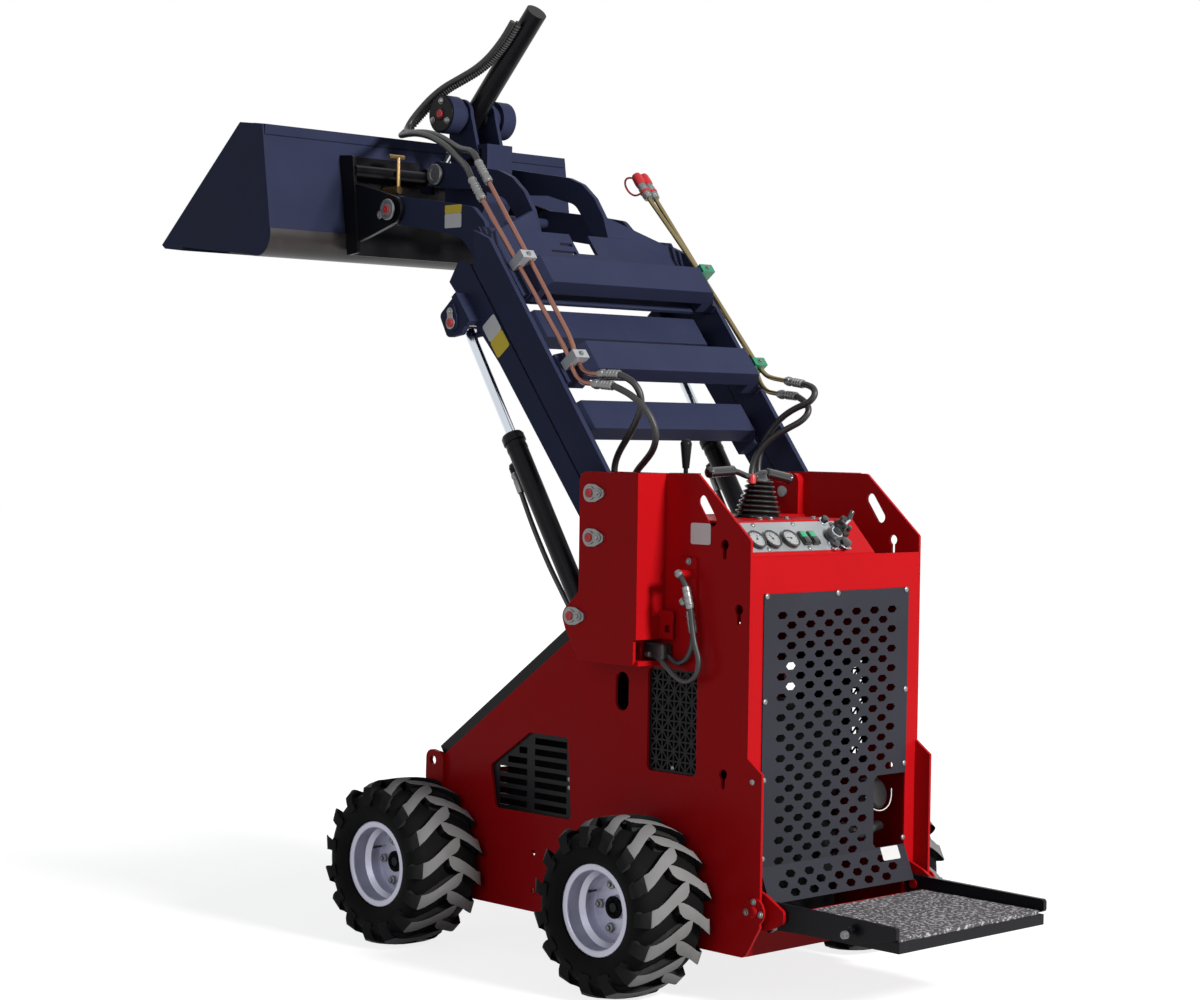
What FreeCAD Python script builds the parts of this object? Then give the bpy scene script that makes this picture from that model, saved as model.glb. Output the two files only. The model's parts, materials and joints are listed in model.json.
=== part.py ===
import FreeCAD, Part
import math
import os

V = FreeCAD.Vector
AXIS_Y = V(0, 1, 0)
ORIGIN = V(0, 0, 0)

# ---------------------------------------------------------------- driving dimensions (mm)
# X points forward, Y to the machine's left, Z up. X = 0 is half way between the axles.

# wheels
wheelbase = 858.0
tyre_radius = 225.0
tyre_width = 216.0
tyre_centre_y = 456.0
bead_radius = 102.0
rim_flange_radius = 116.0
rim_flange_y = 95.0            # rim's middle plane to the outer face of a flange
rim_wall = 4.0
wheel_disc_inset = 84.0        # outer flange face to the wheel disc's outer face
hub_radius = 58.0
shaft_radius = 20.0
motor_radius = 62.0

# body
body_half_width = 326.0
side_wall = 8.0
body_bottom = 125.0
body_top = 1304.0
seat_edge_x = -546.0           # where the side plate's top edge starts to slope
rear_x = -727.0
rear_corner_z = 1146.0
step_x = -775.0
step_top_z = 613.0
step_low_z = 579.0
front_x = 452.0
sheet = 5.0

# tower that carries the arms
tower_front_x = -224.0
tower_rear_x = -425.0
tower_bottom = 821.0
tower_outer_y = 426.0
tower_wall = 10.0

# pivots, in the plane of the sides
pivot_x = -267.0
arm_pivot_z = 1137.0
pivot_spacing = 113.0          # the levelling link's pivot stands this far above the arm's
lift_base = (-200.0, 934.0)
lift_eye = (286.0, 1692.0)
bucket_pin = (692.0, 2025.0)
trunnion = (705.0, 2315.0)
tilt_eye = (868.0, 2147.0)
pin_radius = 15.0
boss_radius = 30.0
running = 0.05                 # radial clearance of a pin that turns in its bore
side_gap = 2.0                 # gap between faces that slide past each other at a pin

# loader arm
arm_angle = 52.0
arm_wall = 16.0
arm_outer_y = 386.0
arm_front_half = 44.0          # arm's front edge to the pivot line
arm_rear_half = 22.0
link_front_half = 42.0
link_rear_half = 53.0
rung_width = 92.0
rung_height = 50.0
gooseneck_y = 295.0            # outer face of the arm's front plates
hump_y = 143.0                 # outer face of the levelling link's front plates
link_rungs = (316.0, 608.0)    # along the link from its pivot to each rung's lower edge
link_rung_rise = 66.0          # from the pivot line to the rung's front face
arm_rungs = (290.0, 595.0)
arm_rung_rise = 30.0
rung_half_top = 305.0
rung_half = 345.0

# cylinders
lift_y = 376.0
lift_barrel_radius = 27.5
lift_rod_radius = 14.0
lift_barrel_end = 545.0
tilt_barrel_radius = 31.0
tilt_rod_radius = 15.0
tilt_barrel_back = 388.0
tilt_barrel_nose = 72.0
trunnion_disc_radius = 55.0
trunnion_disc_width = 48.0
trunnion_disc_y = 120.0
barrel_wall = 5.0

# bucket
bucket_half_width = 584.0
bucket_sheet = 6.0
bucket_back_top = (939.0, 2262.0)
bucket_side_top = (1046.0, 2275.0)
bucket_tip = (1434.0, 1941.0)
bucket_heel = (886.0, 1884.0)
heel_radius = 60.0

# platform
platform_rear_x = -1174.0
platform_half_width = 287.0
platform_z = 226.0             # top of the platform's plate, under its mat
platform_hinge = (-760.0, 244.0)
platform_pin_radius = 12.0

# console
console_z = 1190.0
dash_foot = (-722.0, 1108.0)
dash_top = (-645.0, 1190.0)
console_right_y = -145.0       # the box ends here, beside an open recess
recess_z = 1095.0
recess_front_x = -330.0
lever_x = -471.0               # hand lever and its bellows
lever_y = 12.0

# hydraulic lines
pipe_diameter = 13.0
arm_hose_diameter = 18.0
lift_hose_diameter = 14.0
body_hose_diameter = 14.0
crimp_radius = 11.0

rear_axle_x = -wheelbase / 2
front_axle_x = wheelbase / 2
level_pivot_z = arm_pivot_z + pivot_spacing
arm_dir = (math.cos(math.radians(arm_angle)), math.sin(math.radians(arm_angle)))
origin_shift = (platform_rear_x + bucket_tip[0]) / 2

parts = {}
dash_run = (dash_top[0] - dash_foot[0], dash_top[1] - dash_foot[1])
dash_length = math.hypot(*dash_run)
dash_dir = (dash_run[0] / dash_length, dash_run[1] / dash_length)


# ---------------------------------------------------------------- helpers
def wire(corners, y):
    """Closed outline in the X-Z plane; a corner may carry a third value, its radius."""
    count = len(corners)
    starts, ends, mids = [], [], []
    for i in range(count):
        x, z = corners[i][0], corners[i][1]
        radius = corners[i][2] if len(corners[i]) > 2 else 0.0
        here = V(x, y, z)
        before = V(corners[i - 1][0], y, corners[i - 1][1])
        after = V(corners[(i + 1) % count][0], y, corners[(i + 1) % count][1])
        a = (before - here).normalize()
        b = (after - here).normalize()
        if radius == 0.0:
            starts.append(here)
            ends.append(here)
            mids.append(None)
            continue
        half = a.getAngle(b) / 2
        reach = radius / math.tan(half)
        bisector = (a + b).normalize()
        centre = here + bisector * (radius / math.sin(half))
        starts.append(here + a * reach)
        ends.append(here + b * reach)
        mids.append(centre - bisector * radius)
    edges = []
    for i in range(count):
        if mids[i] is not None:
            edges.append(Part.Arc(starts[i], mids[i], ends[i]).toShape())
        following = starts[(i + 1) % count]
        if (following - ends[i]).Length > 1e-6:
            edges.append(Part.LineSegment(ends[i], following).toShape())
    return Part.Wire(edges)


def slab(corners, y_low, y_high):
    """Plate with the given X-Z outline between two Y planes."""
    face = Part.Face(wire(corners, y_low))
    return face.extrude(V(0, y_high - y_low, 0))


def box(x_low, x_high, y_low, y_high, z_low, z_high):
    return Part.makeBox(x_high - x_low, y_high - y_low, z_high - z_low, V(x_low, y_low, z_low))


def disc(centre, radius, y_low, y_high):
    """Cylinder along Y about a point in the X-Z plane."""
    return Part.makeCylinder(radius, y_high - y_low, V(centre[0], y_low, centre[1]), AXIS_Y)


def bar(start, end, radius):
    """Round bar from one point to another."""
    a, b = V(*start), V(*end)
    return Part.makeCylinder(radius, (b - a).Length, a, b - a)


def slot(start, end, radius, y_low, y_high):
    """Rounded slot between two points in the X-Z plane, as a solid to cut with."""
    run = V(end[0] - start[0], 0, end[1] - start[1])
    side = run.cross(AXIS_Y).normalize() * radius
    a, b = V(start[0], 0, start[1]), V(end[0], 0, end[1])
    corners = [a + side, b + side, b - side, a - side]
    middle = slab([(c.x, c.z) for c in corners], y_low, y_high)
    return middle.multiFuse([disc(start, radius, y_low, y_high), disc(end, radius, y_low, y_high)])


def turned(half_profile, centre_x, centre_z):
    """Ring about a Y axis; the profile lists (radius, y)."""
    points = [V(centre_x, y, centre_z + r) for r, y in half_profile]
    points.append(points[0])
    face = Part.Face(Part.makePolygon(points))
    return face.revolve(V(centre_x, 0, centre_z), AXIS_Y, 360)


def mirrored(shape):
    return shape.mirror(ORIGIN, AXIS_Y)


def along_arm(pivot, length, rise):
    """Point at a distance up an arm from its pivot line and behind it."""
    return (pivot[0] + arm_dir[0] * length - arm_dir[1] * rise,
            pivot[1] + arm_dir[1] * length + arm_dir[0] * rise)


def arm_frame(block, pivot):
    """Turn a block built along X, behind Z, so that X runs up the arm from its pivot."""
    block.rotate(ORIGIN, AXIS_Y, -arm_angle)
    block.translate(V(pivot[0], 0, pivot[1]))
    return block


def tube(points, diameter, label=None):
    """Round tube along straight runs joined by tangent arcs."""
    corners = [V(*p) for p in points]
    edges = []
    radii = []
    reached = corners[0]
    for before, here, after in zip(corners, corners[1:], corners[2:]):
        back, ahead = before - here, after - here
        reach = 0.45 * min(back.Length, ahead.Length)
        back.normalize()
        ahead.normalize()
        half_turn = (math.pi - back.getAngle(ahead)) / 2
        radius = reach / math.tan(half_turn)
        inward = (back + ahead).normalize()
        middle = here + inward * (radius / math.cos(half_turn) - radius)
        edges.append(Part.LineSegment(reached, here + back * reach).toShape())
        edges.append(Part.Arc(here + back * reach, middle, here + ahead * reach).toShape())
        reached = here + ahead * reach
        radii.append(radius)
    edges.append(Part.LineSegment(reached, corners[-1]).toShape())
    path = Part.Wire(edges)
    ring = Part.Wire(Part.makeCircle(diameter / 2, corners[0], corners[1] - corners[0]))
    solid = path.makePipeShell([ring], True, False)
    expected = math.pi * diameter ** 2 / 4 * path.Length
    if label:
        print(label, "length", round(path.Length), "volume ratio", round(solid.Volume / expected, 4),
              "radii", [round(r) for r in radii])
    return solid


def fused(*shapes):
    result = shapes[0].multiFuse(list(shapes[1:]))
    return result.removeSplitter()


def keep(name, shape):
    """Store a sub-part, moved so that the origin is under the middle of the machine."""
    moved = shape.copy()
    moved.translate(V(-origin_shift, 0, 0))
    parts[name] = moved


def keep_pair(name, left):
    keep(name + "_left", left)
    keep(name + "_right", mirrored(left))


# ---------------------------------------------------------------- wheels
def tyre(x):
    half = tyre_width / 2
    seat = rim_flange_y - rim_wall - 1.0
    profile = [(bead_radius + running, -seat), (rim_flange_radius + 2, -seat), (rim_flange_radius + 14, -half + 8),
               (160, -half), (192, -half + 2), (212, -half + 12), (tyre_radius, -half + 34),
               (tyre_radius, half - 34), (212, half - 12), (192, half - 2), (160, half),
               (rim_flange_radius + 14, half - 8), (rim_flange_radius + 2, seat), (bead_radius + running, seat),
               (bead_radius + running, seat - 18), (bead_radius + 30, seat - 14), (200, seat - 4),
               (208, 0), (200, -seat + 4), (bead_radius + 30, -seat + 14), (bead_radius + running, -seat + 18)]
    return turned([(r, tyre_centre_y + y) for r, y in profile], x, tyre_radius)


def rim(x):
    """Drop-centre rim with its disc set deep, a raised hub and the bore for the motor's shaft."""
    flange = rim_flange_y
    inner = bead_radius - rim_wall
    well = bead_radius - 12
    half = [(well - rim_wall, 42), (inner, 54), (inner, flange - 5), (inner + 1, flange - 2), (inner + 4, flange),
            (rim_flange_radius - 4, flange), (rim_flange_radius - 1, flange - 1), (rim_flange_radius, flange - 3),
            (rim_flange_radius, flange - rim_wall), (bead_radius, flange - rim_wall), (bead_radius, 52), (well, 40)]
    other = [(r, -y) for r, y in reversed(half)]
    barrel = turned([(r, tyre_centre_y + y) for r, y in half + other], x, tyre_radius)
    face_y = tyre_centre_y + flange - wheel_disc_inset
    web = disc((x, tyre_radius), well - 2, face_y - 6, face_y)
    step = disc((x, tyre_radius), hub_radius + 10, face_y - 6, face_y + 5)
    hub = disc((x, tyre_radius), 30, face_y - 40, face_y + 14)
    bore = disc((x, tyre_radius), shaft_radius + running, face_y - 60, face_y + 60)
    return fused(barrel, web, step, hub).cut(bore)


def wheel_motor(x):
    """Hydraulic motor on the side plate with the output shaft that the hub turns on."""
    face_y = tyre_centre_y + rim_flange_y - wheel_disc_inset
    flange = box(x - 70, x + 70, body_half_width, body_half_width + 12, tyre_radius - 70, tyre_radius + 70)
    housing = disc((x, tyre_radius), motor_radius, body_half_width, face_y - 46)
    shaft = disc((x, tyre_radius), shaft_radius, body_half_width, face_y + 20)
    return fused(flange, housing, shaft)


def make_wheels():
    for label, x in (("front", front_axle_x), ("rear", rear_axle_x)):
        keep_pair("tyre_" + label, tyre(x))
        keep_pair("rim_" + label, rim(x))
    left = [wheel_motor(front_axle_x), wheel_motor(rear_axle_x)]
    keep("wheel_motors", Part.Compound(left + [mirrored(m) for m in left]))


# ---------------------------------------------------------------- chassis
slope_top = (-98.0, 868.0)
slope_foot = (419.0, 500.0)
vent_x = (-553.0, -380.0)
vent_z = (550.0, 812.0)
louvre = [(-102, 388, 12), (-86, 602, 12), (63, 602, 12), (218, 500, 12), (198, 385, 12)]


def side_outline():
    return [(seat_edge_x, body_top, 14), (rear_x, rear_corner_z, 10), (rear_x, step_top_z),
            (step_x, step_low_z), (step_x, 205), (rear_x, body_bottom, 20), (front_x - 40, body_bottom, 30),
            (front_x, 200), (front_x, 460, 12), (slope_foot[0], slope_foot[1] + 4), slope_top,
            (tower_front_x, 900, 40), (tower_front_x, body_top, 20)]


def keyhole(x, z, y_low, y_high):
    return fused(disc((x, z), 13, y_low, y_high), slot((x, z), (x, z - 30), 6, y_low, y_high))


def side_plate():
    """Side sheet with its openings and the doubler behind the arm pins."""
    inner = body_half_width - side_wall
    through = (inner - 30, body_half_width + 1)
    plate = slab(side_outline(), inner, body_half_width)
    doubler = slab([(-322, console_z), (-322, 1300, 22), (-226, 1300), (-226, console_z)], inner - 22, inner)
    plate = fused(plate, doubler)
    mesh = [(vent_x[0], vent_z[0], 14), (vent_x[1], vent_z[0], 14), (vent_x[1], vent_z[1], 14),
            (vent_x[0], vent_z[1], 14)]
    cutters = [slab(louvre, *through), slab(mesh, *through)]
    cutters.append(slot((-596, 1190), (-562, 1237), 15, *through))
    cutters.append(slot((-287, 716), (-287, 768), 24, *through))
    for x, z in ((-640, 1132), (-691, 975), (-646, 566)):
        cutters.append(keyhole(x, z, *through))
    for at in ((44, 282), (46, 180)):
        cutters.append(disc(at, 8, *through))
    for at in (lift_base, (pivot_x, arm_pivot_z), (pivot_x, level_pivot_z)):
        cutters.append(disc(at, pin_radius, *through))
    cutters.append(disc(platform_hinge, platform_pin_radius, *through))
    return plate.cut(Part.Compound(cutters))


def louvre_plate(y_low, y_high):
    """Black plate with two columns of slots, cut back beside the slanted edge."""
    low_x, low_z = louvre[0][0] - 14, louvre[0][1] - 14
    outline = [(low_x, low_z), (louvre[4][0] + 18, low_z), (louvre[3][0] + 18, louvre[3][1] + 10),
               (louvre[2][0] + 6, 616), (low_x, 616)]
    plate = slab(outline, y_low, y_high)
    slots = []
    for row in range(7):
        z = 571.0 - row * 29
        slots.append(box(-75, 50, y_low - 1, y_high + 1, z, z + 17))
        slant_x = louvre[2][0] + (louvre[2][1] - z - 17) * 1.52
        if row > 0:
            slots.append(box(80, min(slant_x - 16, 190), y_low - 1, y_high + 1, z, z + 17))
    return plate.cut(Part.Compound(slots))


def star_mesh(y_low, y_high):
    """Plate cut into squares that are crossed both ways: eight triangles in each."""
    margin, bar_width = 14, 5.0
    plate = box(vent_x[0] - margin, vent_x[1] + margin, y_low, y_high, vent_z[0] - margin, vent_z[1] + margin)
    columns, rows = 4, 5
    step_x = (vent_x[1] - vent_x[0] - 8) / columns
    step_z = (vent_z[1] - vent_z[0] - 8) / rows
    holes = []
    for column in range(columns):
        for row in range(rows):
            centre = V(vent_x[0] + 4 + (column + 0.5) * step_x, y_low - 1, vent_z[0] + 4 + (row + 0.5) * step_z)
            holes += star_holes(centre, step_x / 2, step_z / 2, bar_width, y_high - y_low + 2)
    return plate.cut(Part.Compound(holes))


def star_holes(centre, half_x, half_z, bar_width, depth):
    """Eight triangles round a centre, each pulled in from its sides by half a bar."""
    rim_points = [V(half_x, 0, 0), V(half_x, 0, half_z), V(0, 0, half_z), V(-half_x, 0, half_z),
                  V(-half_x, 0, 0), V(-half_x, 0, -half_z), V(0, 0, -half_z), V(half_x, 0, -half_z)]
    found = []
    for i in range(8):
        corners = [V(0, 0, 0), rim_points[i], rim_points[(i + 1) % 8]]
        sides = [(corners[(k + 1) % 3] - corners[(k + 2) % 3]).Length for k in range(3)]
        area = (corners[1].cross(corners[2])).Length / 2
        incentre = (corners[0] * sides[0] + corners[1] * sides[1] + corners[2] * sides[2]) * (1 / sum(sides))
        share = 1 - (bar_width / 2) / (2 * area / sum(sides))
        points = [centre + incentre + (c - incentre) * share for c in corners]
        found.append(Part.Face(Part.makePolygon(points + [points[0]])).extrude(V(0, depth, 0)))
    return found


def vent_inserts():
    """Louvre and mesh plates that sit just inside the side plate."""
    y_high = body_half_width - side_wall
    y_low = y_high - 3
    return Part.Compound([louvre_plate(y_low, y_high), star_mesh(y_low, y_high)])


def tower():
    """Outer plate beside the arms with its back strip, floor and the gusset on the strip."""
    y_low = tower_outer_y - tower_wall
    outline = [(tower_rear_x, body_top), (tower_rear_x, tower_bottom, 12), (tower_front_x - 6, tower_bottom, 12),
               (lift_base[0] + 24, lift_base[1] - 34, 22), (lift_base[0] + 40, lift_base[1] + 6, 30),
               (tower_front_x, lift_base[1] + 62, 16), (tower_front_x, body_top, 22)]
    plate = slab(outline, y_low, tower_outer_y)
    for at in (lift_base, (pivot_x, arm_pivot_z), (pivot_x, level_pivot_z)):
        plate = plate.cut(disc(at, pin_radius, y_low - 1, tower_outer_y + 1))
    strip = box(tower_rear_x - 10, tower_rear_x, body_half_width, tower_outer_y, tower_bottom + 66, body_top)
    floor = box(tower_rear_x - 10, tower_front_x - 20, body_half_width, y_low + 2, tower_bottom, tower_bottom + 12)
    gusset = box(-480, tower_rear_x - 10, 338, 342, 888, 960).cut(box(-470, -452, 337, 343, 905, 923))
    return fused(plate, strip, floor, gusset)


def teardrop(centre, y_low, y_high, tail=(-1, 0)):
    """Pin retainer: a round plate with a narrow tail."""
    across = (-tail[1], tail[0])

    def at(out, side):
        return (centre[0] + tail[0] * out + across[0] * side, centre[1] + tail[1] * out + across[1] * side)

    corners = [at(-24, 24) + (22,), at(-24, -24) + (22,), at(20, -22) + (12,), at(50, -8) + (7,),
               at(50, 8) + (7,), at(20, 22) + (12,)]
    return slab(corners, y_low, y_high)


def tower_pins():
    """Pins in the tower, each with a retainer outside."""
    pieces = []
    inner = body_half_width - side_wall
    for at, start in ((lift_base, inner), ((pivot_x, arm_pivot_z), inner), ((pivot_x, level_pivot_z), inner - 28)):
        pin = disc(at, pin_radius, start, tower_outer_y + 3)
        pieces.append(fused(pin, teardrop(at, tower_outer_y, tower_outer_y + 6)))
    return Part.Compound(pieces + [mirrored(p) for p in pieces])


def belly():
    inner = body_half_width - side_wall
    floor = box(rear_x + 10, front_x - 45, -inner, inner, body_bottom, body_bottom + 6)
    nose = box(front_x - 12, front_x - 4, -inner, inner, 190, 450)
    return Part.Compound([floor, nose])


def front_cover():
    """Black cover that stands a little proud of the side plates' slope."""
    run = (slope_foot[0] - slope_top[0], slope_foot[1] - slope_top[1])
    length = math.hypot(*run)
    up = (-run[1] / length, run[0] / length)
    rise, thick = 34.0, 4.0
    a = (slope_top[0], slope_top[1])
    b = (slope_foot[0], slope_foot[1])
    outer = [(a[0] + up[0] * rise, a[1] + up[1] * rise), (b[0] + up[0] * rise, b[1] + up[1] * rise),
             (b[0] - up[0] * 6, b[1] - up[1] * 6), (a[0] - up[0] * 6, a[1] - up[1] * 6)]
    inner = [(a[0] + up[0] * (rise - thick), a[1] + up[1] * (rise - thick)),
             (b[0] + up[0] * (rise - thick), b[1] + up[1] * (rise - thick)),
             (b[0] - up[0] * 20, b[1] - up[1] * 20), (a[0] - up[0] * 20, a[1] - up[1] * 20)]
    wide = body_half_width - side_wall
    return slab(outer, -wide, wide).cut(slab(inner, -wide + thick, wide - thick))


def deck():
    """Top of the body behind the arms with its front wall, and the open recess beside the console."""
    inner = body_half_width - side_wall
    z, front = console_z, tower_front_x - 10
    outline = [(recess_front_x, z), (front, z), (front, 900), (-98, 894), (-98, 889), (front - sheet, 895),
               (front - sheet, z - sheet), (recess_front_x, z - sheet)]
    top = slab(outline, -inner, inner)
    for sign in (1, -1):
        low, high = sorted((sign * (inner - 22), sign * inner))
        top = top.cut(box(-322, front + 20, low, high, z - 1, z + 1))
    floor = box(rear_x + sheet, recess_front_x + sheet, -inner, console_right_y, recess_z - sheet, recess_z)
    wall = box(recess_front_x, recess_front_x + sheet, -inner, console_right_y, recess_z - 1, z - sheet + 1)
    return fused(top, floor, wall)


def on_dash(along, out=0.0):
    """Point at a distance up the sloped dash and out from it."""
    return (dash_foot[0] + dash_dir[0] * along - dash_dir[1] * out,
            dash_foot[1] + dash_dir[1] * along + dash_dir[0] * out)


def dash_disc(along, y, radius, low, high):
    """Cylinder that stands on the sloped dash."""
    x, z = on_dash(along, low)
    return Part.makeCylinder(radius, high - low, V(x, y, z), V(-dash_dir[1], 0, dash_dir[0]))


def dash_block(along, ys, outs):
    """Block on the sloped dash: ranges along it, across and out from it."""
    corners = [on_dash(along[0], outs[0]), on_dash(along[1], outs[0]), on_dash(along[1], outs[1]),
               on_dash(along[0], outs[1])]
    return slab(corners, ys[0], ys[1])


def rear_frame():
    """Frame round the rear panel."""
    inner = body_half_width - side_wall
    opening = 277.0
    x_high = rear_x + sheet
    pieces = [box(rear_x, x_high, -inner, inner, 1013, 1104), box(rear_x, x_high, -inner, inner, 127, 215)]
    for sign in (1, -1):
        low, high = sorted((sign * opening, sign * inner))
        pieces.append(box(rear_x, x_high, low, high, 127, 1104))
    return fused(*pieces)


def hexagon(y, z, depth):
    """Long hexagon to cut with, pointing along X from the rear panel."""
    wide, flat, high = 19.0, 10.0, 9.0
    corners = [(wide, 0), (flat, high), (-flat, high), (-wide, 0), (-flat, -high), (flat, -high)]
    points = [V(rear_x - depth / 2, y + a, z + b) for a, b in corners]
    return Part.Face(Part.makePolygon(points + [points[0]])).extrude(V(depth, 0, 0))


def grille():
    """Perforated rear panel, flared outwards at its foot."""
    half_width, thick = 277.0, 3.0
    bend_z, foot = 340.0, (-764.0, 256.0)
    back = rear_x - thick
    outline = [(rear_x, 1013), (rear_x, bend_z), (foot[0] + thick, foot[1]), foot, (back, bend_z + 1), (back, 1013)]
    panel = slab(outline, -half_width, half_width)
    pitch_y, pitch_z, top_z = 70.0, 25.3, 959.0
    holes = []
    for row in range(25):
        z = top_z - row * pitch_z
        count = 7 if row % 2 == 0 else 6
        for column in range(count):
            y = (column - (count - 1) / 2) * pitch_y
            beside_cut_out = 333 < z < 545 and y < -120
            if not beside_cut_out:
                holes.append(hexagon(y, z, 12))
    for row in range(3):
        count = 6 if row % 2 == 0 else 7
        for column in range(count):
            holes.append(hexagon((column - (count - 1) / 2) * pitch_y, 318 - row * 22, 90))
    panel = panel.cut(Part.Compound(holes))
    opening = Part.Face(Part.makePolygon([V(back - 1, y, z) for y, z in (
        (-278, 345), (-162, 345), (-150, 357), (-150, 520), (-162, 532), (-278, 532), (-278, 345))]))
    return panel.cut(opening.extrude(V(thick + 2, 0, 0)))


def dash():
    """Console box: sloped panel, top and the wall beside the recess."""
    inner = body_half_width - side_wall
    thick = 6.0
    low = on_dash(0, -thick)
    outline = [dash_foot, dash_top, (recess_front_x, console_z), (recess_front_x, console_z - sheet),
               (dash_top[0] + 3, console_z - sheet), (dash_foot[0], low[1] - 2)]
    top = slab(outline, console_right_y, inner)
    wall = slab([(dash_foot[0] + 1, recess_z), (dash_foot[0] + 1, dash_foot[1] - 1), (dash_top[0], console_z - 1),
                 (recess_front_x, console_z - 1), (recess_front_x, recess_z)], console_right_y, console_right_y + sheet)
    return fused(top, wall)


def gauge_plate():
    """Bare metal plate for the instruments."""
    return dash_block((10, 104), (-62, 312), (0, 2.5))


def dash_controls():
    """Gauges, rocker switches, key switch and the choke lever."""
    face = 2.5
    pieces = [dash_disc(44, y, 25.5, face, face + 8) for y in (274, 217, 150)]
    pieces += [dash_block((26, 66), (y - 11, y + 11), (face, face + 7)) for y in (95, 62)]
    body = fused(dash_disc(46, -12, 24, face, face + 12), dash_disc(46, -12, 13, face + 10, face + 30))
    block = fused(dash_block((40, 86), (-58, -38), (face, face + 22)), dash_disc(76, -48, 9, face + 20, face + 44))
    return Part.Compound(pieces + [body, block])


def joystick():
    """Pleated bellows with the hand lever's cross bar on top."""
    pleats = 6
    low_z, high_z = console_z, 1290.0
    profile = [V(lever_x, lever_y, low_z), V(lever_x + 60, lever_y, low_z), V(lever_x + 60, lever_y, low_z + 6)]
    for i in range(pleats):
        share = i / pleats
        radius = 54 - 34 * share
        z = low_z + 8 + (high_z - low_z - 12) * share
        step = (high_z - low_z - 12) / pleats
        profile += [V(lever_x + radius - 9, lever_y, z), V(lever_x + radius, lever_y, z + step * 0.35),
                    V(lever_x + radius, lever_y, z + step * 0.6)]
    profile += [V(lever_x + 11, lever_y, high_z), V(lever_x, lever_y, high_z)]
    bellows = Part.Face(Part.makePolygon(profile + [profile[0]]))
    bellows = bellows.revolve(V(lever_x, lever_y, 0), V(0, 0, 1), 360)
    route = [(223, 1304), (150, 1315), (62, 1293), (10, 1308), (-94, 1290)]
    stick = bar((lever_x, lever_y, high_z - 6), (lever_x, lever_y, 1306), 9)
    pieces = [bellows, stick]
    for (y0, z0), (y1, z1) in zip(route, route[1:]):
        pieces.append(bar((lever_x, y0, z0), (lever_x, y1, z1), 9.5))
        pieces.append(Part.makeSphere(9.5, V(lever_x, y1, z1)))
    knob = Part.makeCylinder(11, 26, V(lever_x, 52, 1280))
    return fused(*pieces, knob)


def control_levers():
    """Throttle lever with its knob, standing in its gate."""
    x, y = -350.0, 170.0
    gate = box(x - 30, x + 34, y - 26, y + 26, console_z, 1302)
    rod = bar((x, y, 1300), (x, y, 1316), 6)
    knob = Part.makeCone(9, 15, 62, V(x, y, 1314))
    tip = Part.makeSphere(15, V(x, y, 1376))
    return fused(gate, rod, knob, tip)


def engine():
    return box(-560, -150, -200, 200, body_bottom + 6, 700)


def front_lugs():
    left = slab([(front_x - 48, 402), (front_x - 48, 512, 20), (front_x + 24, 522, 24), (front_x + 26, 430, 20)],
                body_half_width, body_half_width + 12)
    left = left.cut(disc((front_x - 4, 489), 13, body_half_width - 1, body_half_width + 13))
    return Part.Compound([left, mirrored(left)])


def hydraulic_bracket():
    """Side bracket with the elbows of the auxiliary lines, and the bulkheads where hoses end."""
    y = body_half_width
    plate = box(-549, -497, y, y + 6, 948, 1096)
    fittings = [bar((-523, y + 5, z), (-523, y + out, z), 11) for z, out in ((985, 24), (1055, 40))]
    bracket = fused(plate, *fittings)
    inlet = box(-400, -390, y, y + 48, tower_bottom + 14, tower_bottom + 66)
    pieces = [bracket, inlet]
    for sign in (1, -1):
        stub = bar((-150, sign * y, 850), (-150, sign * (y + 22), 850), 11)
        pieces.append(fused(stub, bar((-150, sign * (y + 16), 850), (-150, sign * (y + 16), 872), 9)))
    return Part.Compound(pieces)


# routes of the hoses: points chosen by hand, with X, Y and Z
body_hose_upper = [(-523, 366, 1055), (-544, 366, 1036), (-556, 364, 1004), (-561, 362, 966), (-566, 360, 922),
                   (-576, 360, 880), (-592, 360, 846), (-584, 360, 806), (-551, 360, 786), (-512, 360, 796),
                   (-478, 360, 822), (-440, 360, 848), (-400, 360, 848)]
body_hose_lower = [(-523, 348, 985), (-541, 347, 974), (-551, 345, 948), (-554, 344, 910), (-549, 343, 872),
                   (-530, 343, 840), (-498, 343, 828), (-466, 343, 846), (-434, 343, 868), (-400, 343, 868)]
lift_hose = [(79, 376, 1285), (60, 376, 1252), (38, 377, 1212), (8, 378, 1160), (-26, 378, 1106), (-62, 378, 1052),
             (-96, 377, 1006), (-122, 374, 968), (-140, 364, 930), (-149, 350, 896), (-150, 342, 862)]


def body_hoses(bracket):
    upper = tube(body_hose_upper, body_hose_diameter, "body_hose_upper")
    lower = tube(body_hose_lower, body_hose_diameter, "body_hose_lower")
    return Part.Compound([upper.cut(bracket), lower.cut(bracket)])


def lift_hoses(bracket):
    left = tube(lift_hose, lift_hose_diameter, "lift_hose").cut(bracket)
    return Part.Compound([left, mirrored(left)])


def make_chassis():
    keep_pair("side_plate", side_plate())
    keep_pair("side_vents", vent_inserts())
    keep_pair("tower", tower())
    keep("tower_pins", tower_pins())
    keep("belly_pan", belly())
    keep("front_cover", front_cover())
    keep("deck", deck())
    keep("rear_frame", rear_frame())
    keep("rear_grille", grille())
    keep("dash_panel", dash())
    keep("gauge_plate", gauge_plate())
    keep("dash_controls", dash_controls())
    keep("joystick", joystick())
    keep("control_levers", control_levers())
    keep("engine_block", engine())
    keep("front_lugs", front_lugs())
    bracket = hydraulic_bracket()
    keep("hydraulic_bracket", bracket)
    keep("body_hoses", body_hoses(bracket))
    keep("lift_hoses", lift_hoses(bracket))


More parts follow.
